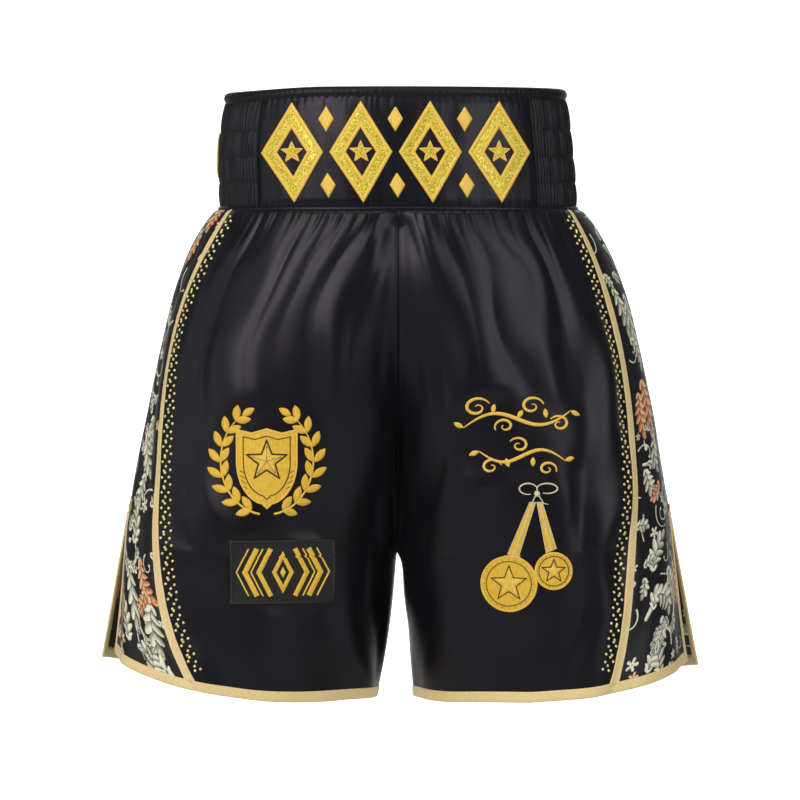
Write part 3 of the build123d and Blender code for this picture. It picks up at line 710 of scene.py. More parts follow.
class Print:
    """Strokes and leaves, placed in millimetres from the panel seam and down from the waist."""

    def __init__(self):
        self.strokes = {"pale": [], "vein": [], "warm": []}
        self.leaves = []

    def stroke(self, kind, a, b, wide_a, wide_b):
        self.strokes[kind].append((*a, *b, wide_a, wide_b))

    def path(self, x, y, turn, length, curl, steps=14):
        """Points along a line that starts at a heading and bends more and more by curl."""
        points = [(x, y, turn)]
        for i in range(steps):
            turn += curl * (0.4 + 1.2 * i / steps) / steps
            x, y = x + cos(turn) * length / steps, y + sin(turn) * length / steps
            points.append((x, y, turn))
        return points

    def tendril(self, x, y, turn, length, curl, width=0.9, kind="pale"):
        points = self.path(x, y, turn, length, curl, 22)
        for i, (p, q) in enumerate(zip(points, points[1:])):
            share = i / 22
            self.stroke(kind, p[:2], q[:2], width * (1 - 0.6 * share), width * (1 - 0.6 * share))
        end = points[-1]
        self.stroke(kind, end[:2], end[:2], width * 1.5, width * 1.5)
        return points

    def leaf(self, x, y, turn, length, curl, width, kind="pale", lobes=4):
        """A curling acanthus leaf: its middle line, length, half width and number of lobes on each side."""
        line = np.array(self.path(x, y, turn, length, curl, 16))[:, :2]
        self.leaves.append((kind, line, length, width * 0.66, lobes))

    def fill_gaps(self, seed):
        """Small sprigs, leaves and blossoms wherever the drawn ones leave black cloth."""
        chance = np.random.default_rng(seed)
        spots = [(u, v) for v in np.arange(6, 440, 12.5) for u in np.arange(5, 112, 12.0)]
        for u, v in spots:
            u, v = u + chance.normal(0, 2.5), v + chance.normal(0, 2.5)
            kind_draw, keep, turn, curl, size = chance.uniform(size=5)
            strokes = self.strokes["pale"] + self.strokes["warm"]
            middles = np.array([(s[0] + s[2], s[1] + s[3]) for s in strokes]) / 2
            drawn = np.concatenate([middles] + [leaf[1] for leaf in self.leaves])
            if np.hypot(drawn[:, 0] - u, drawn[:, 1] - v).min() < 8.5:
                continue
            if keep > 0.42 + 0.12 * min(1.0, v / 200):
                continue
            kind = "warm" if kind_draw > 0.86 else "pale"
            turn, curl = tau * turn, (curl - 0.5) * 5
            if kind_draw < 0.45:
                self.leaf(u, v, turn, 10 + 6 * size, curl * 0.4, 7 + 3 * size, kind, 3)
            elif kind_draw < 0.75:
                self.tendril(u, v, turn, 14 + 12 * size, curl * 1.6, 0.55 + 0.3 * size, kind)
            else:
                self.flower(u, v, 2.4 + 1.6 * size, turn, 5, kind)

    def scroll(self, x, y, turn, size, flip=1, kind="pale", leafy=True):
        """A stem that curls into a spiral, with leaves thrown off its outside."""
        points = self.path(x, y, turn, size * 3.4, flip * 5.6, 26)
        for i, (p, q) in enumerate(zip(points, points[1:])):
            body = size * (0.075 * sin(pi * min(1.0, (i + 4) / 26)) + 0.028)
            self.stroke(kind, p[:2], q[:2], body, body)
        end = points[-1]
        self.stroke(kind, end[:2], end[:2], size * 0.11, size * 0.11)
        if leafy:
            for i, reach in ((3, 0.85), (8, 1.0), (13, 0.8), (18, 0.55)):
                px, py, heading = points[i]
                self.leaf(px, py, heading - flip * 0.7, size * reach * 0.7, flip * 1.4, size * 0.34, kind, 3)

    def flower(self, x, y, size, turn=0.0, petals=5, kind="pale"):
        for i in range(petals):
            a = turn + tau * i / petals
            root = (x + 0.3 * size * cos(a), y + 0.3 * size * sin(a))
            tip = (x + size * cos(a), y + size * sin(a))
            self.stroke(kind, root, tip, size * 0.2, size * 0.36)
        self.stroke("vein", (x, y), (x, y), 0.7, 0.7)

    def fields(self, x, y):
        """For each point, how far it lies inside a pale, veined or warm shape, and a light-and-dark tone."""
        layers = {kind: np.full(x.shape, FAR_OUTSIDE) for kind in self.strokes}
        tone = np.full(x.shape, 0.5)
        for kind, strokes in self.strokes.items():
            best = layers[kind]
            for ax, ay, bx, by, wide_a, wide_b in strokes:
                near = (np.abs(x - (ax + bx) / 2) < 9) & (np.abs(y - (ay + by) / 2) < 9)
                away, t, side = distance_to(x[near], y[near], ax, ay, bx, by)
                inside = wide_a + (wide_b - wide_a) * t - away
                if kind != "vein":
                    shade = np.clip(0.62 + 0.4 * side / (max(wide_a, wide_b) + 0.3), 0.0, 1.0)
                    tone[near] = np.where(inside > best[near], shade, tone[near])
                best[near] = np.maximum(best[near], inside)
        for leaf in self.leaves:
            self.paint_leaf(layers, tone, x, y, *leaf)
        return np.stack([layers["pale"], layers["vein"], layers["warm"]], -1), tone

    def paint_leaf(self, layers, tone, x, y, kind, line, length, half, lobes):
        """Paints a leaf over what is there, with a dark line round it. Its lobes lean towards the tip."""
        low, high = line.min(0) - half - 3, line.max(0) + half + 3
        near = (x > low[0]) & (x < high[0]) & (y > low[1]) & (y < high[1])
        px, py = x[near], y[near]
        if not len(px):
            return
        away, along, side = np.full(px.shape, 1e3), np.zeros(px.shape), np.zeros(px.shape)
        steps = len(line) - 1
        for i in range(steps):
            d, t, s = distance_to(px, py, *line[i], *line[i + 1])
            closer = d < away
            away = np.where(closer, d, away)
            along = np.where(closer, (i + t) / steps, along)
            side = np.where(closer, s, side)
        reach = half * np.sin(pi * (0.16 + 0.79 * along)) ** 0.75
        out = away / reach
        phase = lobes * along ** 0.9 - 0.9 * np.clip(out, 0, 1.2) + np.where(side > 0, 0.0, 0.4)
        lobe = phase % 1.0
        inside = reach * (0.26 + 0.74 * np.sin(pi * lobe) ** 0.6) - away
        between = np.minimum(lobe, 1 - lobe) * length / lobes * 0.8
        vein = np.maximum(0.62 * np.clip(out, 0, 1) - between, 0.5 * (1 - along) + 0.15 - away)
        shade = np.clip(0.02 + 0.95 * lobe ** 0.8 + 0.12 * np.sign(side) - 0.2 * along, 0.0, 1.0)
        covered = inside > -0.7
        for name, field in layers.items():
            value = np.full(px.shape, FAR_OUTSIDE)
            if name == kind:
                value = inside
            elif name == "vein":
                value = np.where(inside > 0.3, vein, FAR_OUTSIDE)
            field[near] = np.where(covered, value, np.maximum(field[near], value))
        tone[near] = np.where(covered, shade, tone[near])


def distance_to(x, y, ax, ay, bx, by):
    """Distance from the line a to b, share of the way along it, and signed distance to its side."""
    px, py, dx, dy = x - ax, y - ay, bx - ax, by - ay
    span = dx * dx + dy * dy + 1e-6
    t = np.clip((px * dx + py * dy) / span, 0.0, 1.0)
    return np.hypot(px - dx * t, py - dy * t), t, (px * dy - py * dx) / sqrt(span)


def print_a():
    """The print on the front of the wearer's left leg."""
    p = Print()
    p.scroll(22, 12, 0.3, 15, -1)
    p.tendril(9, 30, 1.2, 34, 3.4, 0.8)
    p.tendril(38, 44, 2.2, 40, -4.0, 0.9)
    p.leaf(12, 84, 1.25, 40, 0.5, 13)
    p.leaf(31, 92, 1.9, 46, -0.9, 15)
    p.leaf(20, 128, 0.7, 30, 1.2, 12)
    p.scroll(44, 62, 1.4, 17, -1)
    p.leaf(26, 168, 1.3, 44, 0.35, 19, "warm", 5)
    p.leaf(15, 176, 1.7, 34, -0.5, 13, "warm", 5)
    p.scroll(12, 232, 0.2, 21, -1)
    p.leaf(34, 214, 1.9, 30, -1.2, 13)
    p.leaf(16, 240, 1.3, 26, -1.0, 12)
    p.leaf(36, 254, 2.2, 17, 0.8, 11, "warm", 4)
    p.tendril(30, 270, 1.7, 30, -2.0, 0.7)
    p.flower(27, 292, 4.0, 0.4)
    p.tendril(52, 268, 1.2, 36, 4.2, 0.9)
    p.scroll(20, 362, -1.1, 31, 1)
    p.leaf(25, 318, -1.2, 30, 0.7, 16)
    p.leaf(34, 345, 0.2, 30, 1.5, 17)
    p.leaf(52, 330, 0.9, 34, -0.8, 15)
    p.leaf(46, 372, 2.3, 32, -1.3, 15)
    p.tendril(8, 352, 1.0, 32, 4.6, 1.0)
    p.leaf(30, 404, -1.2, 24, 0.6, 13)
    p.leaf(44, 408, -1.9, 28, -0.6, 14)
    p.flower(12, 398, 4.6)
    p.scroll(60, 392, -1.6, 18, -1)
    p.leaf(64, 210, 1.5, 40, 0.6, 14)
    p.scroll(70, 250, 1.2, 20, 1)
    p.leaf(74, 330, 1.2, 44, -0.5, 16, "warm", 5)
    p.fill_gaps(301)
    return p


def print_b():
    """The print on the front of the wearer's right leg."""
    p = Print()
    p.leaf(14, 3, 1.1, 24, 0.9, 14, "warm", 4)
    p.scroll(20, 22, 0.9, 15, -1)
    p.leaf(24, 34, 1.6, 26, -0.8, 12, "warm", 4)
    p.tendril(18, 62, 1.1, 30, 2.6, 0.8)
    p.tendril(8, 108, 0.5, 40, 1.2, 0.9)
    p.leaf(34, 96, 1.9, 24, 1.0, 10)
    p.tendril(12, 146, 1.3, 34, -2.8, 0.9)
    p.flower(26, 140, 4.0)
    p.scroll(14, 172, 0.7, 17, -1)
    p.leaf(24, 196, 1.4, 26, 0.9, 12)
    p.scroll(14, 236, 0.1, 22, -1)
    p.leaf(34, 214, 2.0, 34, 0.5, 16)
    p.leaf(28, 246, 1.3, 34, -0.3, 13)
    p.tendril(6, 250, 0.1, 28, 1.5, 0.9)
    p.flower(20, 266, 5.0, 0.3)
    p.tendril(24, 270, 0.6, 26, -2.4, 0.8)
    p.leaf(40, 300, -1.9, 34, 1.2, 15)
    p.tendril(14, 306, 0.7, 26, 4.5, 0.9)
    p.leaf(26, 318, 1.9, 34, 0.9, 17, "warm", 5)
    p.leaf(20, 340, 1.2, 28, -1.2, 12, "warm", 4)
    p.scroll(28, 354, 0.5, 16, 1)
    p.leaf(48, 330, 1.9, 46, -0.5, 14)
    p.leaf(14, 352, 1.3, 38, 0.5, 18)
    p.leaf(18, 404, -0.9, 32, 1.0, 18)
    p.leaf(34, 408, -1.7, 26, -0.9, 14)
    p.tendril(42, 372, 1.4, 32, 0.6, 0.9)
    p.leaf(58, 384, -1.6, 30, 0.5, 14)
    p.scroll(64, 300, 1.4, 21, 1)
    p.leaf(66, 220, 1.4, 40, 0.5, 14)
    p.leaf(72, 350, 1.5, 34, -0.6, 15, "warm", 5)
    p.fill_gaps(302)
    return p


# ---- Leg panels ----
CLOTH_THICKNESS = 0.55
PRINT_ROWS, PRINT_COLS = 560, 150  # fine enough for the print's lines


def cloth_uvs(points):
    """Flat cloth coordinates for a grid: distance along its rows, and down its columns."""
    across = np.linalg.norm(np.diff(points, axis=1), axis=2)
    down = np.linalg.norm(np.diff(points, axis=0), axis=2).mean(1)
    u = np.concatenate([np.zeros((len(points), 1)), np.cumsum(across, 1)], 1)
    v = np.concatenate([[0.0], np.cumsum(down)])
    return np.stack([u, np.broadcast_to(-v[:, None], u.shape)], -1)


def cloth_panel(name, points, material, slot, face, **kwargs):
    """A panel of cloth whose outside faces the front (face -1) or the back (face 1)."""
    rows, cols = points.shape[:2]
    faces = grid_faces(rows, cols)
    middle = points[rows // 2, cols // 2]
    normal = np.cross(points[rows // 2, cols // 2 + 1] - middle, points[rows // 2 + 1, cols // 2] - middle)
    if normal[1] * face < 0:
        faces = faces[:, ::-1]
    uvs = cloth_uvs(points).reshape(-1, 2)
    piece = mesh_piece(name, points.reshape(-1, 3), faces, uvs, material, slot, **kwargs)
    return thicken(piece, CLOTH_THICKNESS)


def make_panels():
    prints = {1: print_a(), -1: print_b()}
    for (side, face), quarter in QUARTERS.items():
        points = quarter.points[:, :PANEL_COLS]
        piece = cloth_panel(f"{quarter.name}_panel_cloth", points, LOOKS["satin"], "black_satin", face,
                            node=f"{quarter.name}_panel")
        sheet_of(piece, points)

        run, drop = np.meshgrid(np.linspace(1, 2, PRINT_COLS), np.linspace(0, 1, PRINT_ROWS))
        points = quarter.sample(run, drop)
        piece = cloth_panel(f"{quarter.name}_side_cloth", points, LOOKS["print"], "printed_satin", face,
                            node=f"{quarter.name}_side_panel")
        flat = cloth_uvs(points)
        fields, tone = prints[side * -face].fields(flat[..., 0], -flat[..., 1])
        for key, values in (("print", fields), ("tone", np.repeat(tone[..., None], 3, -1))):
            layer = piece.data.attributes.new(key, "FLOAT_VECTOR", "POINT")
            layer.data.foreach_set("vector", values.astype(np.float32).ravel())
        sheet_of(piece, points)


# ---- Gold tape ----
HALF_TAPE = TAPE_WIDTH / 2
# The outline of a seam tape, as (share of its half width, lift)
TAPE_PROFILE = [(-1.0, 0.05), (-0.97, 0.55), (-0.8, 0.78), (-0.62, 0.62), (-0.3, 0.86), (0.0, 0.92),
                (0.3, 0.86), (0.62, 0.62), (0.8, 0.78), (0.97, 0.55), (1.0, 0.05), (0.4, -0.1), (-0.4, -0.1)]


def tape_piece(name, sections, uvs):
    parts = Parts()
    tube(parts, sections, uvs)
    closed_piece(f"{name}_tape", parts, "tape", "gold_binding", f"{name}_binding")


def make_seam_tapes():
    for quarter in QUARTERS.values():
        bottom = 1 - (TAPE_WIDTH - 1.5) / -quarter.hem_at(1.0)
        drop = np.linspace(0.002, bottom, 240)
        z = drop * quarter.hem(np.ones_like(drop))
        sections, uvs = [], []
        pucker = 1 + 0.13 * wobble(-z / 2.6, quarter.seed + 40)
        for across, lift in TAPE_PROFILE:
            run = quarter.shift(np.ones_like(z), z, across * HALF_TAPE * (1 + 0.03 * wobble(-z / 9, 7)))
            sections.append(quarter.sample(run, drop, np.where(lift > 0, lift * pucker, lift)))
            uvs.append(np.stack([-z, np.full_like(z, across * HALF_TAPE)], -1))
        tape_piece(f"{quarter.name}_seam", np.stack(sections, 1), np.stack(uvs, 1))


# A tape folded over a cloth edge, as (distance behind the edge, lift), from the outside to the inside
FOLD_PROFILE = [(8.5, 0.1), (8.4, 0.6), (7.6, 0.8), (6.6, 0.66), (4.4, 0.95), (2.0, 0.9), (0.6, 0.85),
                (-0.6, 0.5), (-0.9, -0.3), (-0.6, -1.0), (0.6, -1.4), (2.0, -1.45), (4.4, -1.5),
                (7.2, -1.35), (8.5, -0.6)]


def make_hem_tapes():
    for side in (1, -1):
        front, back = QUARTERS[side, -1], QUARTERS[side, 1]
        spread = np.linspace(0, 2, 170)
        stops = [(front, run) for run in spread[::-1]] + [(back, run) for run in spread[1:]]
        sections, uvs, travelled, before = [], [], 0.0, None
        for quarter, run in stops:
            hem = quarter.hem_at(run)
            size = 1 + 0.10 * sin(travelled / 2.3) * sin(travelled / 7.1 + 1)
            section = []
            for behind, lift in FOLD_PROFILE:
                point = quarter.sample(run, 1 - max(behind, 0.0) / -hem, lift * size)
                point = point + np.array([0, 0, min(behind, 0.0)])
                section.append(point)
            here = section[5]
            travelled += 0.0 if before is None else float(np.linalg.norm(here - before))
            before = here
            sections.append(section)
            uvs.append([(travelled, behind + i * 0.3) for i, (behind, _) in enumerate(FOLD_PROFILE)])
        tape_piece(f"{LEG[side]}_hem", sections, uvs)


def make_vent_tapes():
    for quarter in QUARTERS.values():
        hem = quarter.hem_at(2.0)
        z = np.linspace(VENT_TOP_Z + 2, hem + 1.0, 70)
        drop = z / hem
        edge = quarter.sample(2.0, drop)
        inward = unit(quarter.sample(1.96, drop) - edge)
        sections, uvs = [], []
        for i, (behind, lift) in enumerate(FOLD_PROFILE):
            run = 2.0 - max(behind, 0.0) / (np.linalg.norm(quarter.sample(1.9, drop) - edge, axis=-1) / 0.1)
            points = quarter.sample(run, drop, lift) + inward * min(behind, 0.0)
            sections.append(points)
            uvs.append(np.stack([-z, np.full_like(z, behind + i * 0.3)], -1))
        tape_piece(f"{quarter.name}_vent", np.stack(sections, 1), np.stack(uvs, 1))


# ---- Embroidery ----
def star(cx, cz, radius):
    corners = []
    for i in range(10):
        angle = pi / 2 + i * pi / 5
        reach = radius if i % 2 == 0 else radius * 0.42
        corners.append((cx + reach * cos(angle), cz + reach * sin(angle)))
    return corners


def lozenge(cx, cz, wide, high):
    return [(cx - wide, cz), (cx, cz - high), (cx + wide, cz), (cx, cz + high)]


def circle(cx, cz, radius, count=48):
    return [(cx + radius * cos(tau * i / count), cz + radius * sin(tau * i / count)) for i in range(count)]


def rectangle(x0, x1, z0, z1):
    return [(x0, z0), (x1, z0), (x1, z1), (x0, z1)]


def arc_line(cx, cz, wide, high, start, stop, count):
    angles = np.linspace(start, stop, count)
    return [(cx + wide * cos(a), cz + high * sin(a)) for a in angles]


def spaced(path, step, closed):
    """The same line with points an even step apart, its corners kept."""
    path = [np.array(p, float) for p in path]
    if closed:
        path = path + [path[0]]
    found = []
    for a, b in zip(path, path[1:]):
        count = max(1, int(round(np.linalg.norm(b - a) / step)))
        found += [a + (b - a) * k / count for k in range(count)]
    return np.array(found if closed else found + [path[-1]])


def outward_sides(path, closed):
    """The sideways direction at each point of a line, longer at corners so that its width stays even."""
    before, after = np.roll(path, 1, 0), np.roll(path, -1, 0)
    if not closed:
        before[0], after[-1] = path[0], path[-1]
    ahead, behind = unit(after - path), unit(path - before)
    if not closed:
        ahead[-1], behind[0] = behind[-1], ahead[0]
    side = unit(np.stack([-(ahead + behind)[:, 1], (ahead + behind)[:, 0]], -1))
    straight = np.stack([-behind[:, 1], behind[:, 0]], -1)
    stretch = np.clip(1 / np.maximum((side * straight).sum(1), 0.3), 1.0, 1.9)
    return side * stretch[:, None]


def contains(outline, points):
    """Which points lie inside an outline."""
    inside = np.zeros(len(points), bool)
    x, z = points[:, 0], points[:, 1]
    for (x0, z0), (x1, z1) in zip(outline, np.roll(outline, -1, 0)):
        crosses = (z0 > z) != (z1 > z)
        reach = x0 + (z - z0) * (x1 - x0) / (z1 - z0 + 1e-12)
        inside ^= crosses & (x < reach)
    return inside


def edge_distance(outlines, points):
    """Each point's distance from the nearest outline."""
    best = np.full(len(points), 1e9)
    for outline in outlines:
        for a, b in zip(outline, np.roll(outline, -1, 0)):
            ab = b - a
            t = np.clip(((points - a) @ ab) / max(ab @ ab, 1e-9), 0, 1)
            best = np.minimum(best, np.linalg.norm(points - a - t[:, None] * ab, axis=1))
    return best


def add_fill(parts, place, outline, holes=(), height=0.9, rim=0.7, cell=1.9, base=-0.2):
    """A raised, round-edged area inside an outline, laid on the cloth by place(x, z, lift)."""
    outlines = [spaced(o, 1.2, True) for o in (outline, *holes)]
    low, high = outlines[0].min(0), outlines[0].max(0)
    xs, zs = np.meshgrid(np.arange(low[0], high[0], cell), np.arange(low[1], high[1], cell * 0.87))
    xs = xs + (np.arange(len(xs)) % 2)[:, None] * cell / 2
    inner = np.stack([xs.ravel(), zs.ravel()], -1)

    def within(points):
        found = contains(outlines[0], points)
        for hole in outlines[1:]:
            found &= ~contains(hole, points)
        return found

    inner = inner[within(inner)]
    inner = inner[edge_distance(outlines, inner) > rim + 0.5]
    rings = []
    for outline_points in outlines:
        sides = outward_sides(outline_points, True)
        for flip in (1, -1):
            ring = outline_points + sides * rim * flip
            good = within(ring)
            good &= edge_distance(outlines, ring) > rim * 0.8
            rings.append(ring[good])
    flat = np.concatenate([*outlines, *rings, inner])
    edges, start = [], 0
    for outline_points in outlines:
        count = len(outline_points)
        edges += [(start + i, start + (i + 1) % count) for i in range(count)]
        start += count
    found = delaunay_2d_cdt([Vector(p) for p in flat], edges, [], 0, 1e-5)
    flat = np.array([tuple(p) for p in found[0]])
    triangles = np.array(found[2])
    triangles = triangles[within(flat[triangles].mean(1))]
    used = np.unique(triangles)
    order = -np.ones(len(flat), int)
    order[used] = np.arange(len(used))
    flat, triangles = flat[used], order[triangles]
    depth = np.clip(edge_distance(outlines, flat) / (rim * 1.6), 0, 1)
    lift = height * (0.25 + 0.75 * np.sqrt(1 - (1 - depth) ** 2))
    top = place(flat[:, 0], flat[:, 1], lift)
    bottom = place(flat[:, 0], flat[:, 1], np.full(len(flat), base))
    count = len(flat)
    pairs = {}
    for a, b, c in triangles.tolist():
        for edge in ((a, b), (b, c), (c, a)):
            pairs[edge] = True
    rim_faces = [[b, a, a + count, b + count] for a, b in pairs if (b, a) not in pairs]
    faces = triangles.tolist() + (triangles[:, ::-1] + count).tolist() + rim_faces
    parts.add(np.concatenate([top, bottom]), faces, np.concatenate([flat, flat]))


# The outline of a stitched line, as (share of its half width, share of its height)
ROPE = [(-1.0, 0.0), (-0.93, 0.45), (-0.7, 0.8), (-0.35, 0.97), (0.0, 1.0),
        (0.35, 0.97), (0.7, 0.8), (0.93, 0.45), (1.0, 0.0)]


def add_rope(parts, place, path, width, height=1.0, closed=False, step=0.9, base=-0.2):
    """A satin-stitched line: a low rounded ridge along a path.

    width is one number, or (first, middle, last) for a line that swells and thins.
    """
    points = spaced(path, step, closed)
    sides = outward_sides(points, closed)
    along = np.concatenate([[0.0], np.cumsum(np.linalg.norm(np.diff(points, axis=0), axis=1))])
    share = along / max(along[-1], 1e-6)
    if isinstance(width, tuple):
        first, middle, last = width
        end = np.where(share < 0.5, first, last)
        half = (end + (middle - end) * np.sin(pi * share)) / 2
        rise = height * np.minimum(1.0, half / (0.35 * np.max(half)))
    else:
        half = np.full(len(points), width / 2)
        rise = height
    rows = []
    for across, up in ROPE:
        flat = points + sides * (half * across)[:, None]
        rows.append(place(flat[:, 0], flat[:, 1], base + (rise - base) * up))
    uvs = np.stack([np.stack([along, half * across], -1) for across, _ in ROPE], 1)
    tube(parts, np.stack(rows, 1), uvs, closed)


def scroll_line(cx, cz, size, turns, flip, lean=0.0, count=40):
    """A spiral from its eye outwards."""
    points = []
    for i in range(count):
        t = i / (count - 1)
        angle = lean + turns * tau * (1 - t)
        reach = size * (0.16 + 0.84 * t)
        points.append((cx + flip * reach * cos(angle), cz + reach * 0.8 * sin(angle)))
    return points


def swash_line(x0, z0, x1, z1, rise, count=30):
    """A line with one wave in it."""
    points = []
    for i in range(count):
        t = i / (count - 1)
        points.append((x0 + (x1 - x0) * t, z0 + (z1 - z0) * t + rise * sin(tau * t)))
    return points


def leaf_outline(cx, cz, angle, length, width, count=9):
    """A pointed leaf from (cx, cz) along the angle."""
    right, left = [], []
    for i in range(count + 1):
        t = i / count
        swell = width / 2 * sin(pi * t) ** 0.8 if 0 < t < 1 else 0.0
        x, z = cx + length * t * cos(angle), cz + length * t * sin(angle)
        right.append((x + swell * sin(angle), z - swell * cos(angle)))
        left.append((x - swell * sin(angle), z + swell * cos(angle)))
    return right + left[-2:0:-1]


# ---- Emblems ----
def on_leg(side):
    """place(x, z, lift) on the front of a leg. The leg's own mirror keeps x running towards the side."""
    quarter = QUARTERS[side, -1]
    return lambda x, z, lift: quarter.at(x, z, lift)


def on_band(face):
    def place(x, z, lift):
        half = band_half_width(z)
        angle = np.arccos(np.clip(np.asarray(x, float) / half, -1, 1))
        return band_point(face * angle, z, BAND_SKIN + lift)
    return place


def outlined(parts, place, outline, width, height=1.1, inset=0.0):
    """A satin-stitched line along an outline, its middle moved inwards by inset."""
    points = spaced(outline, 1.0, True)
    clockwise = sum((b[0] - a[0]) * (b[1] + a[1]) for a, b in zip(points, np.roll(points, -1, 0))) > 0
    sides = outward_sides(points, True) * (-1 if clockwise else 1)
    add_rope(parts, place, points + sides * inset, width, height, closed=True, step=1.0)


MOTIF_PITCH, MOTIF_Z = 58.0, 48.0
MOTIF_WIDE, MOTIF_HIGH = 26.5, 43.5
BORDER = 3.4
ACCENT_HALF = (6.5, 11.0)
ACCENT_RISE = 28.0
SIDE_BADGE = (14.0, 22.0)  # distance behind the side, and radius


def make_waist_motifs():
    slant = hypot(MOTIF_WIDE, MOTIF_HIGH) / (MOTIF_WIDE * MOTIF_HIGH)
    share = 1 - BORDER * 0.5 * slant
    hole = 0.47 + BORDER * 0.5 * slant
    for face in (-1, 1):
        place = on_band(face)
        for i in range(4):
            x = (i - 1.5) * MOTIF_PITCH
            big = lozenge(x, MOTIF_Z, MOTIF_WIDE * share, MOTIF_HIGH * share)
            small = lozenge(x, MOTIF_Z, MOTIF_WIDE * hole, MOTIF_HIGH * hole)
            middle_star = star(x, MOTIF_Z, 8.6)
            face_parts, edge_parts = Parts(), Parts()
            add_fill(face_parts, place, big, [small], 0.9)
            add_fill(face_parts, place, middle_star, [], 0.9, rim=0.5)
            add_rope(edge_parts, place, big, BORDER, 1.5, closed=True)
            add_rope(edge_parts, place, small, BORDER, 1.5, closed=True)
            add_rope(edge_parts, place, middle_star, 1.7, 1.4, closed=True)
            for rise in (-ACCENT_RISE, ACCENT_RISE) if i < 3 else ():
                accent = lozenge(x + MOTIF_PITCH / 2, MOTIF_Z + rise, *ACCENT_HALF)
                add_fill(edge_parts, place, accent, [], 1.3, rim=1.1, cell=1.5)
            # a thin dark rope hugging the outside of the gold border: a painted shadow of the raised edging
            # on the cloth
            shadow = Parts()
            grown = share * (1 + 1.3 * slant)
            around = lozenge(x, MOTIF_Z, MOTIF_WIDE * grown + 0.6, MOTIF_HIGH * grown + 1)
            add_rope(shadow, place, around, 0.8, 0.45, closed=True)
            name = f"{FACE[face]}_motif_{i + 1}"
            # On the back, one CAD node holds both the glitter and its edging
            nodes = (f"{name}_glitter", f"{name}_edging") if face < 0 else (name, ())
            closed_piece(f"{name}_glitter_fabric", face_parts, "glitter", "glitter_gold", nodes[0])
            closed_piece(f"{name}_edging_stitch", edge_parts, "pale_gold", "gold_thread", nodes[1])
            closed_piece(f"{name}_edging_shadow_rope", shadow, "black_thread", "black_satin")


def make_side_badge():
    """A round badge on the wearer's right side of the waistband, of which the front shows only an edge."""
    def place(y, z, lift):
        angle = pi - np.arcsin(np.clip(np.asarray(y, float) / WAIST_HALF_DEPTH, -1, 1))
        return band_point(angle, z, BAND_SKIN - 0.3 + lift)

    y, radius = SIDE_BADGE
    parts, rims = Parts(), Parts()
    add_fill(parts, place, circle(y, MOTIF_Z, radius - 1), [circle(y, MOTIF_Z, radius - 5)], 1.1, base=-1.6)
    outlined(rims, place, circle(y, MOTIF_Z, radius - 0.9), 1.8, 1.3)
    outlined(rims, place, circle(y, MOTIF_Z, radius - 5), 1.5, 1.3)
    add_fill(rims, place, star(y, MOTIF_Z, radius * 0.58), [], 1.3, rim=1.0, cell=1.5)
    closed_piece("right_side_badge_fill", parts, "gold", "gold_thread", "right_side_badge")
    closed_piece("right_side_badge_edge", rims, "pale_gold", "gold_thread")


def shield(cx, cz, wide, high):
    """A heater shield with a slightly dipped top."""
    top = [(cx - wide, cz + high * 0.78), (cx - wide * 0.5, cz + high * 0.70), (cx, cz + high * 0.80),
           (cx + wide * 0.5, cz + high * 0.70), (cx + wide, cz + high * 0.78)]
    right = [(cx + wide * cos(a), cz + high * 0.05 - high * sin(a)) for a in np.linspace(0, 1.42, 12)]
    left = [(2 * cx - x, z) for x, z in right[::-1]]
    return top + right + [(cx, cz - high * 1.04)] + left


def make_crest():
    place = on_leg(-1)
    x, z = -crest_x, crest_z - 3
    gold, pale, dark = Parts(), Parts(), Parts()
    body = shield(x, z, 25, 36)
    inner = shield(x, z, 19.5, 29)
    emblem = star(x, z + 2, 14.5)
    add_fill(gold, place, body, [], 1.0)
    outlined(pale, place, body, 1.9, 1.5)
    outlined(dark, place, inner, 1.1, 1.45)
    outlined(dark, place, star(x, z + 2, 17.6), 2.0, 1.3)
    add_fill(pale, place, emblem, [], 1.7, rim=1.2)
    for i in range(5):
        angle = pi / 2 + i * tau / 5
        add_rope(dark, place, [(x, z + 2), (x + 12.5 * cos(angle), z + 2 + 12.5 * sin(angle))], 0.55, 2.0)
    for side in (-1, 1):
        for k in range(4):
            start = (x + side * (22.5 - 0.6 * k), z - 6 - 4.2 * k)
            add_rope(dark, place, [start, (start[0] - side * 4.5, start[1] - 2.4)], 0.7, 1.3)
    closed_piece("right_leg_crest_fill", gold, "gold", "gold_thread", "right_leg_crest")
    closed_piece("right_leg_crest_edge", pale, "pale_gold", "gold_thread")
    closed_piece("right_leg_crest_lines", dark, "black_thread", "black_satin")


def make_laurel():
    place = on_leg(-1)
    x, z = -crest_x, crest_z - 3
    leaves, veins = Parts(), Parts()
    for side in (1, -1):
        stem = [(x + side * 39 * cos(t), z + 2 + 45 * sin(t)) for t in np.linspace(-1.42, 1.0, 22)]
        add_rope(veins, place, stem, (1.9, 1.5, 0.8), 1.0)
        for i in range(8):
            turn = -1.25 + i * 0.3
            fx, fz = x + side * 40 * cos(turn), z + 3 + 44 * sin(turn)
            lean = turn + pi / 2
            for spread in (-0.62, 0.62):
                angle = lean + spread if side > 0 else pi - (lean + spread)
                size = 15.5 - 0.5 * abs(i - 3)
                add_fill(leaves, place, leaf_outline(fx, fz, angle, size, 6.6), [], 1.0, rim=0.9, cell=1.5)
                add_rope(veins, place, [(fx + cos(angle) * 1.5, fz + sin(angle) * 1.5),
                                        (fx + cos(angle) * size * 0.86, fz + sin(angle) * size * 0.86)],
                         (0.8, 0.7, 0.4), 1.25)
        turn = 1.02
        fx, fz = x + side * 39 * cos(turn), z + 2 + 45 * sin(turn)
        angle = pi / 2 + side * turn
        add_fill(leaves, place, leaf_outline(fx, fz, angle, 12, 6), [], 1.0, rim=0.9, cell=1.5)
    closed_piece("right_leg_laurel_leaves", leaves, "gold", "gold_thread", "right_leg_laurel")
    closed_piece("right_leg_laurel_stems", veins, "pale_gold", "gold_thread")


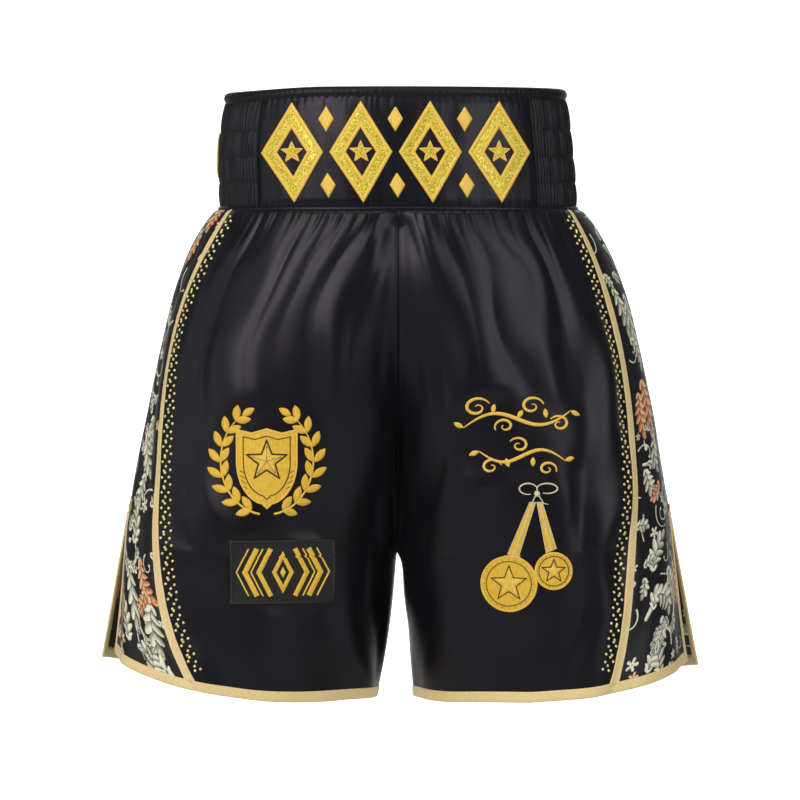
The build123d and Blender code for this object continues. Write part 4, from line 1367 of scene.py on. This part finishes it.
def make_patch():
    place = on_leg(-1)
    x, z, wide, high = -patch_x, patch_z, 44.0, 27.0
    ground, edge, bars, shine = Parts(), Parts(), Parts(), Parts()
    frame_line = rectangle(x - wide, x + wide, z - high, z + high)
    add_fill(ground, place, frame_line, [], 1.0, rim=0.6, cell=2.4)
    inner_line = rectangle(x - wide + 1.2, x + wide - 1.2, z - high + 1.2, z + high - 1.2)
    add_rope(edge, place, inner_line, 2.6, 1.6, closed=True)
    add_fill(bars, place, lozenge(x, z, 9.5, 18.5), [lozenge(x, z, 5.0, 9.8)], 1.8, base=0.6, cell=1.5)
    add_fill(shine, place, lozenge(x, z, 2.6, 5.2), [], 1.9, base=0.6, cell=1.2, rim=0.5)
    for side in (1, -1):
        chevrons = ((10.0, 4.2, bars), (16.5, 1.4, shine), (21.5, 4.6, bars), (28.5, 1.4, shine))
        for step, size, target in chevrons:
            line = [(x + side * step, z + 20), (x + side * (step + 10), z), (x + side * step, z - 20)]
            add_rope(target, place, line, size, 1.8, base=0.6)
    closed_piece("right_leg_patch_twill", ground, "patch", "patch_twill", "right_leg_patch")
    closed_piece("right_leg_patch_overlock", edge, "black_thread", "pale_thread", "right_leg_patch_edging")
    closed_piece("right_leg_patch_chevrons", bars, "gold", "pale_thread", "right_leg_patch_bars")
    closed_piece("right_leg_patch_piping", shine, "pale_gold", "pale_thread")


def make_flourishes():
    place = on_leg(1)
    # Each row's middle, its swash and how wide it swells, its scrolls with their widths, and its buds
    rows = {
        "upper": ((100, -181), (-45, -8, 45, 6, 8.0), 3.4,
                  [(-34, 9, 11, 1.3, 1, 0.4, (2.8, 1.2)), (-11, -7, 8.5, 1.2, -1, -0.5, (2.4, 1.2)),
                   (12, 10, 10, 1.25, 1, 0.2, (2.6, 1.2)), (35, -5, 9, 1.2, -1, 0.6, (2.5, 1.2))],
                  [(-45, -8, 2.6, 9), (45, 6, -0.4, 10), (-21, 4, 1.4, 8), (0, 0, 1.0, 8), (24, 0, 1.7, 8)]),
        "lower": ((104, -213), (-36, 4, 36, -4, -7.0), 3.2,
                  [(-26, -9, 8.5, 1.25, 1, 0.2, (2.4, 1.1)), (-3, 9, 8.5, 1.25, -1, 0.5, (2.4, 1.1)),
                   (21, -11, 8.0, 1.25, 1, -0.4, (2.4, 1.1))],
                  [(-36, 4, 3.5, 9), (36, -4, 0.3, 9), (-14, -2, -1.2, 8), (9, -1, -1.6, 8)]),
    }
    for row, ((x, z), swash, swash_width, scrolls, buds) in rows.items():
        parts = Parts()
        lines = [(swash_line(*swash), (0.9, swash_width, 0.9))]
        lines += [(scroll_line(*scroll), (0.8, *widths)) for *scroll, widths in scrolls]
        for line, width in lines:
            add_rope(parts, place, [(x + u, z + v) for u, v in line], width, 1.05, step=0.8)
        for u, v, angle, length in buds:
            bud = leaf_outline(x + u, z + v, angle, length, 4.2)
            add_fill(parts, place, bud, [], 1.0, rim=0.7, cell=1.3)
        name = f"left_leg_flourish_{row}"
        closed_piece(f"{name}_stitch", parts, "pale_gold", "gold_thread", name)


def make_medals():
    place = on_leg(1)
    x, z = 110.0, -240.0
    ribbons, trims = Parts(), Parts()
    bands = [[(x + 0, z - 12), (x + 5.5, z - 12), (x - 9, z - 59), (x - 18.5, z - 56)],
             [(x + 6, z - 12), (x + 11, z - 12), (x + 23, z - 51), (x + 14, z - 55)]]
    for band in bands:
        add_fill(ribbons, place, band, [], 1.0, rim=0.8, cell=1.5)
        outlined(trims, place, band, 0.9, 1.25, inset=0.3)
        head = ((band[0][0] + band[1][0]) / 2, band[0][1])
        tail = ((band[2][0] + band[3][0]) / 2, (band[2][1] + band[3][1]) / 2)
        add_rope(trims, place, [head, tail], 1.3, 1.3)
    bow = (arc_line(x - 1, z - 1, 7.5, 4.6, -0.5, 5.0, 26),
           arc_line(x + 15, z - 0.5, 8.5, 4.2, -2.0, 3.5, 26))
    for loop in bow:
        add_rope(trims, place, loop, (0.9, 1.5, 0.9), 1.2, step=0.7)
    tails = ([(x + 6, z - 5), (x + 1, z - 15), (x + 2, z - 18)],
             [(x + 7, z - 5), (x + 12, z - 13), (x + 16, z - 14)])
    for tail in tails:
        add_rope(trims, place, tail, (1.2, 1.1, 0.5), 1.2)
    add_fill(trims, place, circle(x + 6.5, z - 5, 2.6, 18), [], 1.5, rim=0.9, cell=1.2)
    closed_piece("left_leg_ribbon_bands", ribbons, "gold", "pale_thread", "left_leg_ribbons")
    closed_piece("left_leg_ribbon_trims", trims, "cream", "pale_thread")

    discs, rims, lines = Parts(), Parts(), Parts()
    for cx, cz, r in ((x - 17, z - 81, 23.5), (x + 20.5, z - 70, 15.5)):
        add_fill(discs, place, circle(cx, cz, r), [], 1.0, rim=1.0)
        outlined(rims, place, circle(cx, cz, r), 2.0, 1.5, inset=0.4)
        outlined(lines, place, circle(cx, cz, r * 0.80), 0.9, 1.4)
        outlined(lines, place, star(cx, cz, r * 0.66), 1.2, 1.35)
        add_fill(rims, place, star(cx, cz, r * 0.58), [], 1.7, rim=1.1, cell=1.5)
        for k in range(24):
            a = tau * k / 24
            ray = [(cx + r * reach * cos(a), cz + r * reach * sin(a)) for reach in (0.84, 0.90)]
            add_rope(lines, place, ray, 0.5, 1.25, step=0.6)
    closed_piece("left_leg_medal_discs", discs, "gold", "gold_thread", "left_leg_medals")
    closed_piece("left_leg_medal_rims", rims, "pale_gold", "gold_thread")
    closed_piece("left_leg_medal_lines", lines, "black_thread", "black_satin")


# ---- Studs ----
STUD_RADIUS = 1.3
STUD_PITCH = 12.9
DOME_SIDES = 12
# One repeat: (distance along the seam, distance from the tape's edge towards the middle)
STUD_PATTERN = [(0.0, 4.2), (3.6, 7.2), (3.6, 1.9), (7.2, 4.9), (9.8, 8.0), (11.3, 3.6)]
# The outline of a stud, as (distance from its axis, rise) in radii
DOME = [(1.0, -0.25), (1.0, 0.0), (0.94, 0.32), (0.76, 0.60), (0.42, 0.80), (0.0, 0.86)]


def make_studs():
    around = np.linspace(0, tau, DOME_SIDES, endpoint=False)
    for quarter in QUARTERS.values():
        chance = np.random.default_rng(quarter.seed + 60)
        parts = Parts()
        for i in range(int((-12 - (HEM_Z + 24)) / STUD_PITCH)):
            for along, across in STUD_PATTERN:
                z = -9 - i * STUD_PITCH - along + chance.normal(0, 0.18)
                from_seam = HALF_TAPE + across + chance.normal(0, 0.15)
                run = float(quarter.shift(np.array(1.0), np.array(z), -from_seam))
                hem = quarter.hem_at(run)
                near = quarter.sample([run, run, run - 0.01], [z / hem, (z - 2) / hem, z / hem])
                out = unit(quarter.sample(run, z / hem, 1.0) - near[0])
                ahead = unit(near[1] - near[0])
                aside = np.cross(out, ahead)
                rings = []
                for radius, rise in DOME[:-1]:
                    ring = [near[0] + (ahead * cos(a) + aside * sin(a)) * radius * STUD_RADIUS
                            + out * rise * STUD_RADIUS for a in around]
                    rings += ring
                rings.append(near[0] + out * DOME[-1][1] * STUD_RADIUS)
                faces = grid_faces(len(DOME) - 1, DOME_SIDES, wrap_cols=True).tolist()
                last, tip = (len(DOME) - 2) * DOME_SIDES, (len(DOME) - 1) * DOME_SIDES
                faces += [[last + k, last + (k + 1) % DOME_SIDES, tip] for k in range(DOME_SIDES)]
                faces.append(list(range(DOME_SIDES))[::-1])
                parts.add(rings, faces)
        closed_piece(f"{quarter.name}_stud_domes", parts, "studs", "brass_studs", f"{quarter.name}_studs")


# ---- Waistband ----
STITCH_ROWS = [1.5, 22.0, 44.5, 68.0, 94.0]
BAND_SKIN = 1.3  # how far the padded panels stand out from the CAD band


def band_half_width(z):
    return WAIST_HALF_WIDTH - 8.5 * np.clip(np.asarray(z, float) / 103.5, 0, 1) ** 2.6


def band_point(angle, z, lift):
    """A point of the waistband. The angle is from the wearer's left side, negative towards the front."""
    angle, z, lift = matched(angle, z, lift)
    wide = band_half_width(z)
    deep = WAIST_HALF_DEPTH - 5.0 * np.clip(z / 103.5, 0, 1) ** 2.6
    out = unit(np.stack([np.cos(angle) / wide, np.sin(angle) / deep, np.zeros_like(angle)], -1))
    point = np.stack([wide * np.cos(angle), deep * np.sin(angle), z], -1)
    point = point + out * lift[..., None]
    lean = smooth(z, 0, 60)
    point[..., 0] -= 2.4 * lean
    point[..., 2] -= 3.2 * smooth(-point[..., 0], 60, 150) * smooth(z, 20, 100)
    point[..., 2] -= front_dip(point[..., 1], z)
    return point


def band_arc(angle):
    """Distance round the band from the wearer's left side."""
    fine = np.linspace(-pi, pi, 2000)
    across, deep = WAIST_HALF_WIDTH * np.cos(fine), WAIST_HALF_DEPTH * np.sin(fine)
    travelled = np.cumsum(np.hypot(np.gradient(across), np.gradient(deep)))
    return np.interp(angle, fine, travelled - travelled[1000])


def band_grid(angles, heights):
    """A grid over the band: angle, height, distance round it, and distance from the grid's ends."""
    angle, height = np.meshgrid(angles, heights)
    q = band_arc(angle)
    from_ends = np.minimum(np.abs(q - band_arc(angles[0])), np.abs(q - band_arc(angles[-1])))
    return angle, height, q, from_ends


def panel_edge_angle():
    return acos(BAND_PANEL_HALF_WIDTH / WAIST_HALF_WIDTH)


def make_band_panels():
    edge = panel_edge_angle()
    for face in (-1, 1):
        heights = np.linspace(1.0, BAND_TOP + 1, 90)
        a, zz, q, side_room = band_grid(np.linspace(edge, pi - edge, 260) * face, heights)
        rim = np.minimum(zz, BAND_TOP + 1 - zz)
        puff = BAND_SKIN * smooth(np.minimum(side_room, rim), -1.0, 9.0)
        creases = 0.42 * ripple(q / 9, zz / 17, 31 + face) * smooth(rim, 0, 8)
        ends = 0.55 * pleats(q, 7.0, 35 + face) * (bell(zz - BAND_TOP, 9.0) + bell(zz, 8.0))
        lift = puff + creases + ends - 0.6 * bell(side_room, 2.5)
        points = band_point(a, zz, lift)
        name = FACE[face]
        piece = cloth_panel(f"waistband_{name}_cloth", points, LOOKS["satin"], "black_satin", face,
                            node=f"waistband_{name}_panel")
        sheet_of(piece, points)

        low, high = 5.5, BAND_TOP - 4.5
        angles = np.linspace(edge + 0.05, pi - edge - 0.05, 110) * face
        a, zz, q, side_room = band_grid(angles, np.linspace(low, high, 44))
        room = np.minimum(np.minimum(zz - low, high - zz), side_room)
        outer = band_point(a, zz, -1.9 + 1.3 * smooth(room, 0, 9))
        inner = band_point(a, zz, -2.1 - 1.0 * smooth(room, 0, 9))
        rows, cols = a.shape
        loop = ([(0, c) for c in range(cols)] + [(r, cols - 1) for r in range(1, rows)]
                + [(rows - 1, c) for c in range(cols - 2, -1, -1)] + [(r, 0) for r in range(rows - 2, 0, -1)])
        index = [r * cols + c for r, c in loop]
        faces = grid_faces(rows, cols).tolist() + grid_faces(rows, cols, rows * cols)[:, ::-1].tolist()
        faces += [[index[i], index[i - 1], index[i - 1] + rows * cols, index[i] + rows * cols]
                  for i in range(len(index))]
        parts = Parts()
        uv = np.stack([q, zz], -1)
        parts.add(np.concatenate([outer.reshape(-1, 3), inner.reshape(-1, 3)]), faces,
                  np.concatenate([uv.reshape(-1, 2), uv.reshape(-1, 2)]))
        pad = closed_piece(f"waistband_{name}_wadding", parts, "wadding", "interlining",
                           f"waistband_{name}_padding")


def shirred_lift(q, z, seed):
    """Fine pleats held by rows of elastic stitching, with the cloth puffed out between the rows."""
    puff = np.zeros_like(z)
    depth = np.zeros_like(z)
    phase = tau * q / 3.6 + 1.5 * wobble(q / 6, seed)
    for i, (low, high) in enumerate(zip(STITCH_ROWS, STITCH_ROWS[1:])):
        share = np.clip((z - low) / (high - low), 0, 1)
        inside = (z >= low) & (z < high)
        belly = np.sin(pi * share) ** 0.55
        puff = np.where(inside, 0.8 * belly - 0.3, puff)
        local = phase + 1.5 * wobble(q / 4, seed + i + 1) + 0.7 * np.sin(z / 6 + q / 5)
        height = (np.abs(np.sin(local / 2)) ** 0.8 - 0.6) * (0.8 + 0.45 * wobble(q / 5, seed + 9 + i))
        depth = np.where(inside, height * (0.6 + 0.8 * belly), depth)
    return puff + depth * 1.15


def make_shirring():
    edge = panel_edge_angle()
    for side in (1, -1):
        middle = 0.0 if side > 0 else pi
        angles = middle + np.linspace(-edge, edge, 300)
        z = np.linspace(1.0, BAND_TOP + 1, 110)
        a, zz = np.meshgrid(angles, z)
        q = band_arc(a - middle)
        room = np.minimum(q - q[0, 0], q[0, -1] - q)
        lift = shirred_lift(q, zz, 71 + side) * smooth(room, -1, 5) + 0.3
        points = band_point(a, zz, lift)
        faces = grid_faces(*a.shape)
        parts = Parts()
        parts.add(points, faces, cloth_uvs(points))
        piece = open_piece(f"{LEG[side]}_shirred_cloth", parts, "shirred", "shirred_satin",
                           f"{LEG[side]}_waistband_shirring")
        thicken(piece, 0.5)
        sheet_of(piece, points)


def ring_piece(name, profile, look, slot, node, seed, size, cols=720, pitch=5.4, closed=True):
    """A tube or sheet that runs round the whole band. profile is (z, lift, share of the gathers)."""
    angles = np.linspace(-pi, pi, cols, endpoint=False)
    q = band_arc(angles)
    gather = pleats(q, pitch, seed) + 0.35 * pleats(q, pitch * 0.47, seed + 2)
    girth = q[-1] - q[0]
    seam = smooth(np.minimum(q - q[0], girth - (q - q[0])), 0, 6)
    gather = gather * seam
    rows = [band_point(angles, z + share * 0.35 * size * np.roll(gather, 3), lift + share * size * gather)
            for z, lift, share in profile]
    points = np.stack(rows)
    parts = Parts()
    uv = np.stack([np.broadcast_to(q, points.shape[:2]),
                   np.broadcast_to(np.array([[p[0] + p[1]] for p in profile]), points.shape[:2])], -1)
    parts.add(points, grid_faces(len(profile), cols, wrap_cols=True, wrap_rows=closed), uv)
    make = closed_piece if closed else open_piece
    return make(name, parts, look, slot, node), points


def make_band_rings():
    foot, top = BAND_TOP, RUFFLE_TOP
    ruffle_profile = [
        (foot - 1.0, 0.2, 0.2), (foot + 0.4, 0.1, 0.2), (foot + 1.6, 1.3, 0.8), (foot + 3.6, 2.1, 1.0),
        (top - 2.6, 2.0, 1.0), (top - 0.9, 1.2, 0.9), (top + 0.1, -0.6, 0.6), (top + 0.3, -2.6, 0.4),
        (top - 0.2, -4.6, 0.6), (top - 2.0, -6.4, 0.9), (foot + 3.6, -7.0, 1.0), (foot + 1.2, -6.4, 0.7),
        (foot - 0.6, -5.2, 0.2), (foot - 1.0, -2.5, 0.0)]
    ruffle, _ = ring_piece("waistband_gathered_top", ruffle_profile, "shirred", "shirred_satin",
                           "waistband_top_ruffle", seed=41, size=0.75)
    welt_profile = [
        (1.9, 0.2, 0.2), (1.7, 1.3, 0.5), (0.6, 2.1, 0.9), (-0.7, 2.2, 1.0), (-1.9, 1.6, 0.9),
        (-2.5, 0.5, 0.5), (-2.2, -2.0, 0.1), (-1.6, -5.8, 0.1), (0.0, -6.6, 0.2), (1.6, -5.8, 0.1),
        (2.2, -2.0, 0.0)]
    ring_piece("waist_seam_roll", welt_profile, "satin", "black_satin", "waist_seam_welt",
               seed=45, size=0.28, pitch=4.2)
    lining_profile = [(z, -6.2, 1.0 - 0.7 * bell(z - BAND_TOP, 8) - 0.7 * bell(z, 8))
                      for z in np.linspace(BAND_TOP - 0.5, 1.6, 40)]
    lining, points = ring_piece("waistband_inner_lining", lining_profile, "lining", "lining_satin",
                                "waistband_lining", seed=51, size=0.5, cols=500, pitch=13.0, closed=False)
    edit_faces(lining, bmesh.ops.reverse_faces)
    thicken(lining, 0.45, 1.0)
    sheet_of(lining, points)
    ribs = [(z, -3.4 - 0.25 * (i % 2), 0.0) for i, z in enumerate(np.linspace(BAND_TOP - 3.2, 4.2, 56))]
    back = [(z, -4.9 + 0.2 * (i % 2), 0.0) for i, z in enumerate(np.linspace(4.2, BAND_TOP - 3.2, 56))]
    ring_piece("waistband_elastic_webbing", ribs + back, "elastic", "elastic_webbing", "waistband_elastic",
               seed=55, size=0.0, cols=360)


def make_bar_tacks():
    for side in (1, -1):
        quarter = QUARTERS[side, -1]
        top = quarter.sample(2.0, (VENT_TOP_Z + 5) / quarter.hem_at(2.0))

        def place(x, z, lift):
            x, z, lift = matched(x, z, lift)
            return np.stack([top[0] + side * (0.6 + lift), x, z], -1)

        parts = Parts()
        for row in (-1.5, 0.0, 1.5):
            add_rope(parts, place, [(row, VENT_TOP_Z + 1.0), (row, VENT_TOP_Z + 8.0)], 1.7, 1.1, step=0.5)
        name = f"{LEG[side]}_vent"
        closed_piece(f"{name}_stitch_bar", parts, "gold", "gold_thread", f"{name}_bar_tack")


# ---- Camera, floor and light ----
CAMERA_DISTANCE = 3.0  # metres
VIEW_WIDTH = 0.696  # metres across the view, at the middle of the shorts
VIEW_MIDDLE = (0.0015, -0.1665)  # the X and Z that the camera looks at
SENSOR_WIDTH = 36.0
FLOOR_Z = -1.0
BACKDROP_Y = 4.6
BACKDROP_BEND = 1.2
BACKDROP_TOP = 4.2
FLOOR_HALF_WIDTH = 6.0


def make_camera():
    data = bpy.data.cameras.new("camera")
    camera = bpy.data.objects.new("camera", data)
    bpy.context.scene.collection.objects.link(camera)
    data.sensor_width = SENSOR_WIDTH
    data.lens = SENSOR_WIDTH * CAMERA_DISTANCE / VIEW_WIDTH
    camera.location = (VIEW_MIDDLE[0], -CAMERA_DISTANCE, VIEW_MIDDLE[1])
    camera.rotation_euler = (pi / 2, 0.0, 0.0)
    bpy.context.scene.camera = camera


def make_floor():
    """A pale floor that curves up into a backdrop, far enough back for a camera to stand in front of it."""
    bend_y, bend_z = BACKDROP_Y - BACKDROP_BEND, FLOOR_Z + BACKDROP_BEND
    profile = [(-FLOOR_HALF_WIDTH, FLOOR_Z), (-1.0, FLOOR_Z), (bend_y, FLOOR_Z)]
    profile += [(bend_y + BACKDROP_BEND * sin(a), bend_z - BACKDROP_BEND * cos(a))
                for a in np.linspace(0.1, pi / 2, 14)]
    profile.append((BACKDROP_Y, BACKDROP_TOP))
    across = np.linspace(-FLOOR_HALF_WIDTH, FLOOR_HALF_WIDTH, 9)
    points = [(x, y, z) for y, z in profile for x in across]
    mesh = bpy.data.meshes.new("pale_floor")
    mesh.from_pydata(points, [], grid_faces(len(profile), len(across)).tolist())
    mesh.polygons.foreach_set("use_smooth", [True] * len(mesh.polygons))
    mesh.materials.append(floor_look())
    floor = bpy.data.objects.new("pale_floor", mesh)
    bpy.context.scene.collection.objects.link(floor)


def add_light(name, place, target, size, power, colour=(1, 1, 1)):
    data = bpy.data.lights.new(name, "AREA")
    data.shape, data.size, data.size_y = "RECTANGLE", size[0], size[1]
    data.energy, data.color = power, colour
    light = bpy.data.objects.new(name, data)
    light.location = place
    light.rotation_euler = (Vector(target) - Vector(place)).to_track_quat("-Z", "Y").to_euler()
    bpy.context.scene.collection.objects.link(light)


def make_lights():
    add_light("key", (-1.5, -2.0, 1.1), (0, 0, -0.15), (0.9, 1.8), 41, (1.0, 0.98, 0.97))
    add_light("fill", (1.7, -1.9, 0.7), (0, 0, -0.15), (0.9, 1.8), 25, (0.97, 0.98, 1.0))
    add_light("top", (0, -0.7, 1.7), (0, 0, -0.1), (1.8, 1.0), 9)
    add_light("side", (-2.4, -0.5, 0.1), (0, 0, -0.2), (0.8, 1.6), 6)
    world = bpy.data.worlds.new("studio")
    world.use_nodes = True
    world.node_tree.nodes["Background"].inputs["Color"].default_value = (1.0, 1.0, 1.0, 1.0)
    world.node_tree.nodes["Background"].inputs["Strength"].default_value = 0.12
    bpy.context.scene.world = world
    bpy.context.scene.view_settings.view_transform = "Standard"


make_panels()
make_seam_tapes()
make_hem_tapes()
make_vent_tapes()
make_bar_tacks()
make_studs()
make_band_panels()
make_shirring()
make_band_rings()
make_waist_motifs()
make_side_badge()
make_crest()
make_laurel()
make_patch()
make_flourishes()
make_medals()
make_camera()
make_floor()
make_lights()
